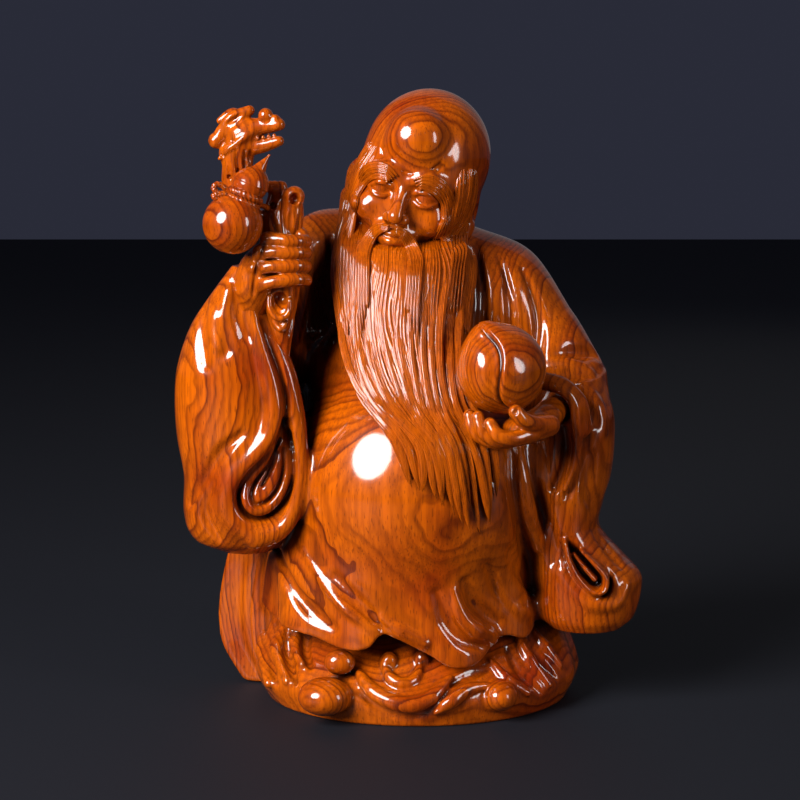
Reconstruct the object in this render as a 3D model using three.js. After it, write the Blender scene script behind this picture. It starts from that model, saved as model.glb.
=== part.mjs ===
// A rosewood carving of the old man of the south pole, the bringer of long life.
// He stands on a low carved base, leans on his belly, holds a root staff with a dragon's head
// and a gourd in his raised hand, and a peach in the other. All of it is one piece of wood.
//
// The wood is a field of distances on a grid of cells: each form is added to it or cut from it,
// and blends with what is there over a width called soft. The skin of the field is then
// reduced to a few thousand triangles and sawn flat underneath.
//
// Millimetres, +Z up. The figure faces -Y, and +X is on the right of someone who faces it.

import * as THREE from 'three';
import { mergeVertices } from 'three/addons/utils/BufferGeometryUtils.js';

// Driving dimensions, in millimetres

const figureHeight = 395;
const headWidth = 80;
const crownBumpDiameter = 40;
const bellyWidth = 172;
const bellyDepth = 164;
const beardThickness = 11;
const browThickness = 8;
const peachDiameter = 55;
const gourdDiameter = 37;
const staffDiameter = 17;
const fingerDiameter = 9;
const sleeveLip = 10;
const grooveWidth = 7;
const trenchDepth = 16;
const foldHeight = 5;
const baseWidth = 212;
const baseDepth = 180;
const baseHeight = 45;
const shoeWidth = 34;

// The pose and the carving are laid out in parts, 395 to the figure's height. The grid's step is
// in parts too, so that the carving keeps its detail at any height.

const partsHigh = 395;
const part = figureHeight / partsHigh;
const inParts = (size) => size / part;
const gridStep = 2.7;
const triangleBudget = 9600;
const radians = THREE.MathUtils.degToRad;
const { lerp, clamp } = THREE.MathUtils;
const at = ([x, y, z]) => new THREE.Vector3(x, y, z);

// Landmarks of the pose, each as [x, y, z]

const headPlace = [3, -24, 333];
const headTurn = new THREE.Euler(radians(3), radians(14), radians(-9), 'ZYX');
const bellyCentre = [8, -22, 140];
const peachCentre = [57, -98, 226];
const peachAxis = at([-0.43, -0.2, 0.88]).normalize();
const gripCentre = [-75, -70, 292];
const gourdCentre = [-107, -86, 314];
const gourdAxis = at([11, 2, 24]).normalize();
const raisedShoulder = [-50, 6, 284];
const raisedElbow = [-112, -6, 196];
const raisedWrist = [-97, -60, 262];
const loweredShoulder = [52, 4, 257];
const loweredElbow = [101, -16, 209];
const loweredWrist = [86, -74, 197];

// The field of distances

const far = 40;

// A block of wood: distances at the corners of cubic cells, below zero inside the wood.
class WoodBlock {
  constructor(low, high, step) {
    this.low = low;
    this.step = step;
    this.count = high.clone().sub(low).divideScalar(step).ceil().addScalar(1);
    this.strides = [1, this.count.x, this.count.x * this.count.y];
    this.field = new Float32Array(this.count.x * this.count.y * this.count.z).fill(far);
  }

  index(i, j, k) {
    return i + this.strides[1] * j + this.strides[2] * k;
  }

  // Blends a shape into the block. Sign 1 adds it and sign -1 cuts it away.
  blend(shape, soft, sign) {
    const { low, step, count, field } = this;
    const margin = soft + 2 * step;
    const first = (axis) => Math.max(0, Math.floor((shape.box.min[axis] - margin - low[axis]) / step));
    const last = (axis) =>
      Math.min(count[axis] - 1, Math.ceil((shape.box.max[axis] + margin - low[axis]) / step));
    const [x0, x1, y0, y1, z0, z1] = ['x', 'y', 'z'].flatMap((axis) => [first(axis), last(axis)]);
    for (let k = z0; k <= z1; k++) {
      for (let j = y0; j <= y1; j++) {
        for (let i = x0; i <= x1; i++) {
          const place = this.index(i, j, k);
          const shapeDistance = shape.distance(low.x + i * step, low.y + j * step, low.z + k * step);
          const here = sign * field[place];
          const overlap = Math.max(soft - Math.abs(here - shapeDistance), 0);
          field[place] = sign * (Math.min(here, shapeDistance) - (overlap * overlap) / (4 * soft));
        }
      }
    }
  }

  add(shape, soft = 2) {
    this.blend(shape, soft, 1);
  }

  cut(shape, soft = 2) {
    this.blend(shape, soft, -1);
  }

  // Saws the block off flat below a height.
  sawBelow(height) {
    const { low, step, count, field } = this;
    for (let k = 0; k < count.z; k++) {
      const below = height - low.z - k * step;
      for (let n = this.index(0, 0, k); n < this.index(0, 0, k + 1); n++) {
        field[n] = Math.max(field[n], below);
      }
    }
  }

  // Fills the corners where wood would meet wood only across a diagonal of a cell, so that no
  // edge or point of the skin belongs to two sheets of it.
  fillPinches() {
    const { count, field, strides } = this;
    const sheet = 1e-3 * this.step;
    const fill = (corners) => {
      const outside = corners.filter((place) => field[place] >= 0);
      const nearest = outside.reduce((a, b) => (field[a] < field[b] ? a : b));
      field[nearest] = -sheet;
    };
    const [sx, sy, sz] = strides;
    const faces = [
      [0, sx, sy, sx + sy],
      [0, sy, sz, sy + sz],
      [0, sz, sx, sz + sx],
    ];
    const all = [0, sx, sy, sz, sx + sy, sy + sz, sz + sx, sx + sy + sz];
    let filled = true;
    while (filled) {
      filled = false;
      for (let here = 0; here < field.length - all[7]; here++) {
        if (here % sy === count.x - 1) continue;
        for (const [a, b, c, d] of faces) {
          const wood = field[here + a] < 0;
          const across = wood === field[here + d] < 0;
          if (!across || wood === field[here + b] < 0 || wood === field[here + c] < 0) continue;
          fill([here + a, here + b, here + c, here + d]);
          filled = true;
        }
        const inside = all.filter((corner) => field[here + corner] < 0);
        const few = inside.length === 2 ? inside : all.filter((corner) => field[here + corner] >= 0);
        if (few.length !== 2 || few[0] + few[1] !== all[7]) continue;
        fill(all.map((corner) => here + corner));
        filled = true;
      }
    }
  }

  // Where the wood is first met along y in the front view, and where from behind.
  surface(x, z, order) {
    const { low, step, count, field } = this;
    const i = clamp(Math.round((x - low.x) / step), 0, count.x - 1);
    const k = clamp(Math.round((z - low.z) / step), 0, count.z - 1);
    const row = order(Array.from({ length: count.y }, (_, j) => j));
    const met = row.findIndex((j) => field[this.index(i, j, k)] < 0);
    if (met < 1) return 0;
    const outside = field[this.index(i, row[met - 1], k)];
    const inside = field[this.index(i, row[met], k)];
    return low.y + step * lerp(row[met - 1], row[met], outside / (outside - inside));
  }

  front(x, z) {
    return this.surface(x, z, (row) => row);
  }

  back(x, z) {
    return this.surface(x, z, (row) => row.reverse());
  }

  // The skin as quads through one point in each cell that the surface crosses.
  skin() {
    const { low, step, count, field, strides } = this;
    const pointOf = new Int32Array(field.length).fill(-1);
    const positions = [];
    const triangles = [];
    const pointIn = (i, j, k) => {
      const key = this.index(i, j, k);
      if (pointOf[key] >= 0) return pointOf[key];
      const sum = [0, 0, 0];
      let crossings = 0;
      for (let along = 0; along < 3; along++) {
        const [u, v] = [(along + 1) % 3, (along + 2) % 3];
        for (let side = 0; side < 4; side++) {
          const [a, b] = [side & 1, side >> 1];
          const start = key + a * strides[u] + b * strides[v];
          const from = field[start];
          const to = field[start + strides[along]];
          if (from < 0 === to < 0) continue;
          sum[along] += from / (from - to);
          sum[u] += a;
          sum[v] += b;
          crossings++;
        }
      }
      const corner = [i, j, k];
      const start = low.toArray();
      positions.push(...sum.map((value, axis) => start[axis] + step * (corner[axis] + value / crossings)));
      pointOf[key] = positions.length / 3 - 1;
      return pointOf[key];
    };
    const backAlongU = [0, 1, 1, 0];
    const backAlongV = [0, 0, 1, 1];
    for (let k = 1; k < count.z - 1; k++) {
      for (let j = 1; j < count.y - 1; j++) {
        for (let i = 1; i < count.x - 1; i++) {
          const here = this.index(i, j, k);
          const inside = field[here] < 0;
          for (let along = 0; along < 3; along++) {
            if (inside === field[here + strides[along]] < 0) continue;
            const [u, v] = [(along + 1) % 3, (along + 2) % 3];
            const ring = backAlongU.map((back, n) => {
              const corner = [i, j, k];
              corner[u] -= back;
              corner[v] -= backAlongV[n];
              return pointIn(...corner);
            });
            const [a, b, c, d] = inside ? ring : ring.reverse();
            triangles.push(a, b, c, a, c, d);
          }
        }
      }
    }
    return { positions, triangles };
  }
}

// Shapes: each has a box that holds it and a distance, below zero inside

const boxOf = (points, margin) => new THREE.Box3().setFromPoints(points).expandByScalar(margin);

// An egg: a ball stretched along three axes, which may be turned.
function egg(centre, [rx, ry, rz], turn = new THREE.Euler()) {
  const [cx, cy, cz] = centre;
  const toEgg = new THREE.Matrix4().makeRotationFromEuler(turn).transpose().elements;
  return {
    box: boxOf([at(centre)], Math.max(rx, ry, rz)),
    distance(x, y, z) {
      const dx = x - cx;
      const dy = y - cy;
      const dz = z - cz;
      const a = (toEgg[0] * dx + toEgg[4] * dy + toEgg[8] * dz) / rx;
      const b = (toEgg[1] * dx + toEgg[5] * dy + toEgg[9] * dz) / ry;
      const c = (toEgg[2] * dx + toEgg[6] * dy + toEgg[10] * dz) / rz;
      const size = Math.sqrt(a * a + b * b + c * c);
      const slope = Math.sqrt((a * a) / (rx * rx) + (b * b) / (ry * ry) + (c * c) / (rz * rz));
      return (size * (size - 1)) / Math.max(slope, 1e-6);
    },
  };
}

const ball = (centre, radius) => egg(centre, [radius, radius, radius]);

// A limb: a rod along a smooth curve, as the skin round a row of balls that change evenly in size.
// The nearest ball stands at the foot of the point on a stretch of the curve, moved by the slope
// of the radius. Deep above 1 stretches the rod from front to back, and below 1 flattens it.
function limb(points, radii, deep = 1) {
  const steps = 4 * (points.length - 1);
  const curve = new THREE.CatmullRomCurve3(points.map(at), false, 'centripetal');
  const path = Array.from({ length: steps + 1 }, (_, n) => curve.getPoint(n / steps));
  const radiusAt = (t) => {
    const place = t * (radii.length - 1);
    const before = Math.min(Math.floor(place), radii.length - 2);
    return lerp(radii[before], radii[before + 1], place - before);
  };
  const rods = path.slice(1).map((end, n) => {
    const start = path[n];
    const along = [end.x - start.x, (end.y - start.y) / deep, end.z - start.z];
    const length2 = Math.max(along[0] ** 2 + along[1] ** 2 + along[2] ** 2, 1e-9);
    const radius = radiusAt(n / steps);
    const growth = radiusAt((n + 1) / steps) - radius;
    const lean = growth / Math.sqrt(length2 * Math.max(length2 - growth ** 2, 0.1 * length2));
    return [start.x, start.y / deep, start.z, ...along, length2, radius, growth, lean];
  });
  return {
    box: boxOf(path, Math.max(...radii) * Math.max(1, deep)),
    distance(x, y, z) {
      const yScaled = y / deep;
      let nearest = Infinity;
      for (let n = 0; n < steps; n++) {
        const [sx, sy, sz, ux, uy, uz, length2, radius, growth, lean] = rods[n];
        const px = x - sx;
        const py = yScaled - sy;
        const pz = z - sz;
        const foot = (px * ux + py * uy + pz * uz) / length2;
        const off2 = Math.max(px * px + py * py + pz * pz - foot * foot * length2, 0);
        const along = Math.min(Math.max(foot + lean * Math.sqrt(off2), 0), 1);
        const dx = px - along * ux;
        const dy = py - along * uy;
        const dz = pz - along * uz;
        const away = Math.sqrt(dx * dx + dy * dy + dz * dz) - radius - along * growth;
        if (away < nearest) nearest = away;
      }
      return nearest * Math.min(1, deep);
    },
  };
}

// A value that runs smoothly through rows of numbers, the first of each being where the row holds.
function throughRows(rows) {
  const slope = (n, c) => {
    const a = rows[Math.max(n - 1, 0)];
    const b = rows[Math.min(n + 1, rows.length - 1)];
    return (b[c] - a[c]) / (b[0] - a[0]);
  };
  return (place) => {
    if (place <= rows[0][0]) return rows[0].slice(1);
    const after = rows.findIndex((row) => row[0] > place);
    if (after < 0) return rows[rows.length - 1].slice(1);
    const n = after - 1;
    const span = rows[after][0] - rows[n][0];
    const t = (place - rows[n][0]) / span;
    const ease = t * t * (3 - 2 * t);
    return rows[n].slice(1).map((_, index) => {
      const c = index + 1;
      const bend = t * (1 - t) * span * ((1 - t) * slope(n, c) - t * slope(after, c));
      return lerp(rows[n][c], rows[after][c], ease) + bend;
    });
  };
}

// A column: level oval sections, each row holding z, left, right, front and back.
// Reach(angle, z) may push its side out, as folds do.
function column(rows, reach = () => 0) {
  const section = throughRows(rows);
  const bottom = rows[0][0];
  const top = rows[rows.length - 1][0];
  const most = (c, pick) => pick(...rows.map((row) => row[c]));
  const low = [most(1, Math.min), most(3, Math.min), bottom];
  const high = [most(2, Math.max), most(4, Math.max), top];
  const levels = new Map();
  return {
    box: boxOf([at(low), at(high)], inParts(foldHeight)),
    distance(x, y, z) {
      if (!levels.has(z)) levels.set(z, section(z));
      const [left, right, front, back] = levels.get(z);
      const halfWidth = (right - left) / 2;
      const halfDepth = (back - front) / 2;
      const u = (x - (left + right) / 2) / halfWidth;
      const v = (y - (front + back) / 2) / halfDepth;
      const size = Math.sqrt(u * u + v * v);
      const side = (size - 1) * Math.min(halfWidth, halfDepth) - reach(Math.atan2(v, u), z);
      return Math.max(side, bottom - z, z - top);
    },
  };
}

// A shape placed in a turned frame.
function inFrame(frame, shape) {
  const m = frame.clone().invert().elements;
  return {
    box: shape.box.clone().applyMatrix4(frame),
    distance: (x, y, z) =>
      shape.distance(
        m[0] * x + m[4] * y + m[8] * z + m[12],
        m[1] * x + m[5] * y + m[9] * z + m[13],
        m[2] * x + m[6] * y + m[10] * z + m[14]
      ),
  };
}

// The part of a shape above a height that depends on the place.
const above = (height, shape) => ({
  box: shape.box,
  distance: (x, y, z) => Math.max(shape.distance(x, y, z), height(x, y) - z),
});

// A line between two others, as a fold of a fan lies between its first and its last.
const between = (from, to, share) =>
  from.map((place, n) => place.map((value, axis) => lerp(value, to[n][axis], share)));

const fan = (from, to, count) => Array.from({ length: count }, (_, n) => between(from, to, n / (count - 1)));

// Lays a line of the front view, given as [x, z] pairs, on the wood and sinks it by a depth.
// On the back view the same is done from behind.
const laid = (wood, line, sink = 0) => line.map(([x, z]) => [x, wood.front(x, z) + sink, z]);
const laidBehind = (wood, line, sink = 0) => line.map(([x, z]) => [x, wood.back(x, z) - sink, z]);

// A ridge and a groove along a line, the ridge given by how high it stands at its points.
const raise = (wood, line, heights, soft = 4) => wood.add(limb(line, heights), soft);
const groove = (wood, line, share = 1, soft = 4) => {
  const half = (inParts(grooveWidth) / 2) * share;
  wood.cut(limb(line, [0.4 * half, half, half, 0.4 * half]), soft);
};

// A deeper groove, whose depth is its half width times steep.
const trench = (wood, line, share, steep, soft = 2) => {
  const half = (inParts(grooveWidth) / 2) * share;
  wood.cut(limb(line, [0.4 * half, half, half, 0.7 * half], steep), soft);
};

// The body

function carveTorso(wood) {
  wood.add(egg(bellyCentre, [inParts(bellyWidth) / 2, inParts(bellyDepth) / 2, 86]));
  wood.add(egg([2, 6, 232], [70, 54, 78]), 24);
  wood.add(limb([raisedShoulder, [-4, 4, 286], loweredShoulder], [30, 32, 40]), 18);
  wood.add(limb([[2, 12, 280], [4, 4, 298]], [30, 25]), 12);
  wood.add(limb([loweredShoulder, [80, -4, 236], loweredElbow], [40, 31, 27]), 14);
  wood.add(limb([raisedShoulder, [-84, 4, 236], raisedElbow], [30, 29, 30]), 14);
}

// The skirt is tight under the belly and flares at the hem, which dips and rises in tongues.

const hemFront = throughRows([
  [-100, 66],
  [-87, 57],
  [-62, 52],
  [-42, 47],
  [-25, 49],
  [-17, 57],
  [-8, 55],
  [4, 49],
  [15, 43],
  [26, 36.5],
  [40, 36],
  [49, 41],
  [55, 49],
  [63, 51],
  [75, 48],
  [84, 55],
  [100, 62],
]);

const hemHeight = (x, y) => lerp(hemFront(x)[0], 20, clamp((y + 10) / 60, 0, 1));

function carveSkirt(wood) {
  const folds = (angle, z) => {
    const flare = clamp((115 - z) / 75, 0, 1);
    const wave = Math.cos(11 * angle + 0.8 * Math.sin(2 * angle) + z / 45);
    return 0.6 * inParts(foldHeight) * flare * wave;
  };
  const rows = [
    [15, -96, 92, -92, 76],
    [40, -97, 92, -92, 78],
    [62, -95, 92, -91, 76],
    [90, -92, 91, -91, 72],
    [140, -82, 90, -84, 64],
  ];
  wood.add(above(hemHeight, column(rows, folds)), 8);
  const hollows = [
    [[[-86, 104], [-76, 84], [-62, 68], [-47, 59]], 1.4],
    [[[-46, 92], [-32, 78], [-20, 67], [-12, 62]], 1],
    [[[18, 84], [24, 66], [34, 54], [46, 48]], 1],
    [[[36, 90], [42, 76], [50, 66], [58, 60]], 1],
    [[[50, 100], [58, 82], [68, 70], [80, 64]], 0.9],
    [[[66, 108], [74, 88], [84, 74], [92, 68]], 0.9],
  ];
  for (const [line, share] of hollows) groove(wood, laid(wood, line), share, 6);
  const tongues = [
    [[[-66, 106], [-52, 86], [-38, 72], [-20, 61]], [1, 4.5, 6, 3.5]],
    [[[-16, 68], [-4, 60], [10, 52]], [2, 4, 3]],
    [[[28, 86], [34, 69], [43, 58], [53, 51]], [1, 4, 6, 4]],
    [[[56, 92], [62, 76], [71, 66], [82, 59]], [1, 3.5, 5, 3.5]],
  ];
  for (const [line, heights] of tongues) raise(wood, laid(wood, line), heights);
}

// Cloth that falls to the ground behind the skirt and beside it.
function carveTrain(wood) {
  const folds = (angle, z) => {
    const depth = 0.2 + 0.48 * clamp((150 - z) / 130, 0, 1);
    const broad = Math.cos(11 * angle + 1.4 * Math.sin(2 * angle));
    const narrow = Math.cos(25 * angle + 2 * Math.sin(3 * angle + 1));
    return inParts(foldHeight) * depth * (broad + 0.4 * narrow);
  };
  const rows = [
    [-6, -100, 96, -34, 78],
    [30, -120, 94, -20, 84],
    [80, -118, 92, -16, 80],
    [125, -103, 92, -10, 70],
    [170, -84, 84, -10, 60],
    [205, -70, 76, -8, 54],
  ];
  wood.add(column(rows, folds), 10);
}

// The base: a low mound of cloth and cloud with two shoes and swags between them

function carveBase(wood) {
  const halfWidth = inParts(baseWidth) / 2;
  const halfDepth = inParts(baseDepth) / 2;
  const height = inParts(baseHeight);
  const level = (share, width, front, back) => [
    height * share,
    6 - halfWidth * width,
    6 + halfWidth * width,
    -8 - halfDepth * front,
    -8 + halfDepth * back,
  ];
  const flutes = (angle, z) => {
    const depth = 0.14 + 0.32 * clamp(Math.sin(angle), 0, 1);
    return depth * inParts(foldHeight) * Math.cos(19 * angle) * clamp(z / 20, 0, 1);
  };
  const levels = [
    level(-0.2, 0.9, 0.96, 0.98),
    level(0, 0.93, 0.98, 0.99),
    level(0.35, 1, 1, 1),
    level(0.65, 0.98, 0.88, 0.98),
    level(1, 0.92, 0.68, 0.94),
    level(1.5, 0.86, 0.55, 0.92),
  ];
  wood.add(column(levels, flutes), 5);
  const shoe = inParts(shoeWidth) / 2;
  wood.add(egg([-52, -90, 16], [1.06 * shoe, shoe, 0.76 * shoe]), 3);
  wood.add(egg([60, -82, 13], [0.65 * shoe, 0.76 * shoe, 0.6 * shoe]), 3);
  wood.add(egg([-43, -82, 37], [10, 8, 8]), 4);
  wood.cut(egg([-3, -101, 31], [24, 15, 12]), 4);
  const fold = inParts(foldHeight);
  const bigSwag = [[-30, -86, 28], [-21, -92, 16.5], [-5, -97, 10.5], [12, -96, 13], [26, -87, 25]];
  raise(wood, bigSwag, [0.6 * fold, 1.1 * fold, 1.2 * fold, 1.1 * fold, 0.6 * fold], 2);
  const smallSwag = [[-15, -82, 28], [-13, -86, 21.5], [-5, -88, 18.5], [4, -86, 21.5], [7, -82, 27]];
  raise(wood, smallSwag, [0.4 * fold, 0.64 * fold, 0.72 * fold, 0.64 * fold, 0.4 * fold], 2);
  raise(wood, [[17, -94, 8], [33, -93, 15], [48, -87, 21]], [0.4 * fold, 1.1 * fold, 0.5 * fold], 2);
  for (const x of [-16, 9]) wood.add(egg([x, -76, 36], [6, 8, 9]), 2);
  const leaves = [
    [[-95, 38], [-96, 27], [-91, 14]],
    [[-83, 46], [-87, 30], [-79, 15]],
    [[-72, 50], [-74, 38], [-70, 27]],
    [[62, 42], [69, 30], [80, 15]],
    [[71, 44], [80, 28], [92, 13]],
    [[80, 46], [90, 30], [102, 17]],
  ];
  const edge = [0.4 * fold, fold, 0.6 * fold];
  for (const line of leaves) raise(wood, laid(wood, line, 0.5), edge, 2);
}

// The raised sleeve: a broad bag that hangs from the wrist, its front edge curled round a drop
// of nested folds

function carveRaisedSleeve(wood) {
  const rows = [
    [101, -120, -88, -54, -22],
    [108, -137, -78, -64, -8],
    [124, -144, -68, -71, 0],
    [150, -144, -63, -74, 4],
    [175, -148, -64, -75, 4],
    [198, -149, -68, -75, 2],
    [220, -147, -72, -75, -2],
    [246, -138, -80, -74, -12],
    [266, -125, -85, -73, -28],
    [286, -110, -91, -68, -48],
  ];
  wood.add(column(rows), 7);
  const lip = inParts(sleeveLip) / 2;
  const backBand = [[-90, -62, 258], [-84, -63, 238], [-76, -64, 217], [-70, -65, 193], [-68, -66, 168],
    [-68.5, -66, 147], [-72.5, -66, 131], [-81, -66, 119], [-96, -66, 113]];
  wood.add(limb(backBand, [0.6 * lip, lip, 1.1 * lip, 1.1 * lip, 1.1 * lip, 1.2 * lip]), 6);
  const bandFace = [[-93, -62, 252], [-86, -62, 236], [-79, -63, 216], [-76, -63, 196]];
  wood.add(limb(bandFace, [lip, 1.4 * lip, 1.6 * lip, 1.4 * lip]), 6);
  const bowl = [[-78, -88, 188], [-84, -88, 173], [-91, -87, 158], [-93, -86, 147], [-91, -86, 137]];
  wood.cut(limb(bowl, [9, 15, 19, 19, 16]), 5);
  const frontLip = [[-98, -69, 258], [-92, -70, 238], [-87, -71, 220], [-84, -71, 205], [-83.5, -71, 193],
    [-87, -71, 180], [-96, -71, 168], [-106, -70, 157], [-113, -69, 146], [-114, -68, 135], [-108, -67, 125],
    [-97, -67, 118], [-85, -66, 118]];
  wood.add(limb(frontLip, [0.6 * lip, 1.1 * lip, 1.2 * lip, 1.2 * lip, 1.2 * lip, 1.3 * lip, lip]), 5);
  const deepest = inParts(trenchDepth) / inParts(grooveWidth);
  const seam = [[-91, -72, 252], [-86, -72, 237], [-79.5, -73, 219], [-76, -73, 203], [-76, -73, 191]];
  trench(wood, seam, 0.5, 0.6 * deepest);
  const outerFold = [[-78, 190], [-81, 178], [-89.5, 166], [-99.5, 155], [-105, 145], [-104.5, 134.5],
    [-98, 128.5], [-87.5, 129.5], [-78, 139], [-73, 153], [-72.5, 167], [-75, 181]];
  trench(wood, laid(wood, outerFold, 1), 0.75, deepest);
  const ridge = [[-79.5, 184], [-84.5, 171], [-93, 159.5], [-101, 149.5], [-101.5, 139.5], [-96.5, 132.5],
    [-88, 133.5], [-80, 142.5], [-75.5, 156], [-75.5, 170]];
  const fold = inParts(foldHeight);
  raise(wood, laid(wood, ridge, 1), [0.2 * fold, 0.7 * fold, 0.7 * fold, 0.6 * fold, 0.2 * fold], 2);
  const innerFold = [[-80.5, 176], [-87.5, 162], [-95, 151.5], [-98.5, 143], [-96, 136.5], [-89, 138],
    [-82, 146.5], [-78.5, 159], [-78.5, 171]];
  trench(wood, laid(wood, innerFold, 1), 0.5, deepest);
  trench(wood, laid(wood, [[-81.5, 168], [-87.5, 156], [-92, 147.5]], 1), 0.5, deepest);
  groove(wood, laid(wood, [[-104, 182], [-117, 170], [-128, 153], [-139, 134]]), 0.9, 5);
  groove(wood, laid(wood, [[-123, 150], [-129, 132], [-119, 113]]), 0.8, 4);
  const cuffFolds = fan([[-106, 278], [-104, 262], [-98, 246]], [[-130, 262], [-130, 248], [-125, 232]], 3);
  for (const line of cuffFolds) groove(wood, laid(wood, line), 0.7, 5);
}

// The lowered sleeve: folds fall from the elbow and the wrist to a flared corner

function carveLoweredSleeve(wood) {
  const rows = [
    [51, 92, 138, -62, -14],
    [58, 85, 146, -66, -8],
    [76, 80, 151, -68, -4],
    [86, 78, 150, -68, -2],
    [98, 77, 139, -67, 2],
    [116, 74, 124, -66, 6],
    [132, 73, 126, -66, 8],
    [150, 72, 131, -67, 10],
    [172, 72, 133, -68, 10],
    [190, 74, 132, -66, 8],
    [212, 78, 125, -54, 8],
  ];
  wood.add(column(rows), 8);
  const valleys = [
    [[[65, 178], [66, 153], [70, 128], [75, 103], [82, 72]], 1.4],
    [[[74, 172], [78, 152], [84, 133], [91, 109], [99, 84]], 1.2],
  ];
  const steep = (0.6 * inParts(trenchDepth)) / (inParts(grooveWidth) / 2);
  for (const [line, share] of valleys) trench(wood, laid(wood, line, 1), share, steep / share, 7);
  const fold = inParts(foldHeight);
  const low = [0.4 * fold, 0.6 * fold, 0.4 * fold];
  raise(wood, laid(wood, [[70, 172], [73, 152], [77, 132], [83, 106]], 1), low);
  groove(wood, laid(wood, [[103, 204], [110, 188], [107, 167], [100, 142]]), 1.2, 5);
  raise(wood, laid(wood, [[100, 196], [104, 184], [102, 166], [95, 140]], 1), low);
  groove(wood, laid(wood, [[115, 164], [114, 144], [119, 130], [132, 115], [140, 102]]), 1, 5);
  groove(wood, laid(wood, [[96, 224], [108, 227], [121, 226]]), 1, 6);
  raise(wood, laid(wood, [[90, 218], [102, 219], [114, 214]], 1), [0.4 * fold, 0.8 * fold, 0.4 * fold], 5);
  groove(wood, laid(wood, [[92, 208], [104, 208], [114, 201]]), 0.8, 5);
  const opening = [[86, -66, 205], [96, -66, 203], [103, -64, 197], [104, -61, 188]];
  wood.cut(limb(opening, [2.5, 4, 4, 2.5], 2.4), 2.5);
  wood.cut(limb([[99, -74, 110], [107, -74, 96], [117, -73, 84]], [6, 10, 12.5]), 4);
  const rim = [[90, 120], [94, 103], [103, 85], [117, 72], [132, 72], [139, 82]];
  raise(wood, laid(wood, rim, 1.5), [0.2 * fold, 0.8 * fold, 0.9 * fold, 0.4 * fold]);
  trench(wood, laid(wood, [[101, 109], [108, 96], [118, 85]], 0.5), 0.7, steep);
}

// The dark space between the raised arm and the chest

function carveArmpit(wood) {
  const hollow = [[-57, -46, 292], [-56, -42, 264], [-59, -40, 236], [-62, -40, 214]];
  wood.cut(limb(hollow, [5, 9, 9, 4], 2.5), 6);
}

// The head, worked in a frame of its own: x across, y to the back, z up from the level of the eyes

const headFrame = new THREE.Matrix4().makeRotationFromEuler(headTurn).setPosition(...headPlace);

function carveHead(wood) {
  const add = (shape, soft) => wood.add(inFrame(headFrame, shape), soft);
  const cut = (shape, soft) => wood.cut(inFrame(headFrame, shape), soft);
  const half = inParts(headWidth) / 2;
  const bump = inParts(crownBumpDiameter) / 2;
  add(egg([4, 4, 21], [half, half + 3, 43]), 6);
  add(egg([0, -3, -8], [0.85 * half, 35, 37]), 16);
  add(limb([[0, 6, -20], [0, 10, -56]], [26, 26]), 8);
  add(egg([0, 11 - half, 33], [bump, 0.85 * bump, bump]), 4);
  for (const side of [-1, 1]) {
    const to = (x, y, z) => [side * x, y, z];
    add(limb([to(4, -38, 9), to(14, -37, 13), to(26, -30, 8)], [3, 4.2, 3]), 5);
    cut(egg(to(14.5, -42, 1), [9.5, 6.5, 6]), 4);
    add(ball(to(14.5, -31.5, 0.5), 8), 2);
    add(egg(to(20, -28, -14), [9, 8, 9]), 6);
    add(ball(to(5.4, -41.5, -15.5), 3.5), 2.2);
    add(egg(to(half - 1, 4, -6), [4.5, 9, 15]), 3);
    add(limb([to(half - 1, 1, -16), to(half - 3, -2, -32)], [5.5, 5]), 3);
  }
  add(limb([[0, -36.5, 8], [0, -41, -4], [0, -45, -14]], [3, 3.8, 5]), 3);
  add(egg([0, -33, -27], [14, 9, 9]), 6);
  add(limb([[-9, -38.5, -25], [0, -42.2, -25.4], [9, -38.5, -25]], [1.4, 2.4, 1.4]), 1.5);
  add(limb([[-8, -38.5, -29], [0, -41.6, -30.2], [8, -38.5, -29]], [1.4, 2.6, 1.4]), 1.5);
}

// The beard: locks laid side by side from the jaw, swept over the belly to one side

const beardGuides = [
  [[-40, -30, 318], [-25, -47, 303], [-2, -52, 299], [20, -46, 302], [36, -28, 310]],
  [[-44, -42, 290], [-26, -62, 284], [-3, -69, 281], [19, -63, 283], [37, -44, 288]],
  [[-43, -60, 248], [-24, -77, 242], [-3, -84, 240], [16, -80, 242], [34, -66, 248]],
  [[-34, -82, 216], [-13, -96, 208], [6, -99, 204], [22, -97, 204], [35, -86, 212]],
  [[-12, -98, 186], [8, -103, 182], [22, -104, 178], [36, -100, 174], [52, -90, 182]],
  [[-3, -103, 156], [13, -105, 150], [29, -101, 136], [46, -94, 120], [56, -88, 150]],
];

function carveBeard(wood) {
  const lockCount = 10;
  const half = inParts(beardThickness) / 2;
  const guides = beardGuides.map((points) => new THREE.CatmullRomCurve3(points.map(at)));
  const spine = [[-6, -50, 292], [-4, -66, 240], [8, -84, 202], [28, -88, 168], [38, -90, 146]];
  wood.add(limb(spine, [27, 31, 26, 17, 10], 0.4), 6);
  for (let n = 0; n < lockCount; n++) {
    const line = guides.map((guide) => guide.getPoint(n / (lockCount - 1)).toArray());
    wood.add(limb(line, [0.8 * half, half, half, half, 0.9 * half, 0.5 * half]), 1);
  }
}

// Long brows that fall beside the face into the beard, and a moustache

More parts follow.
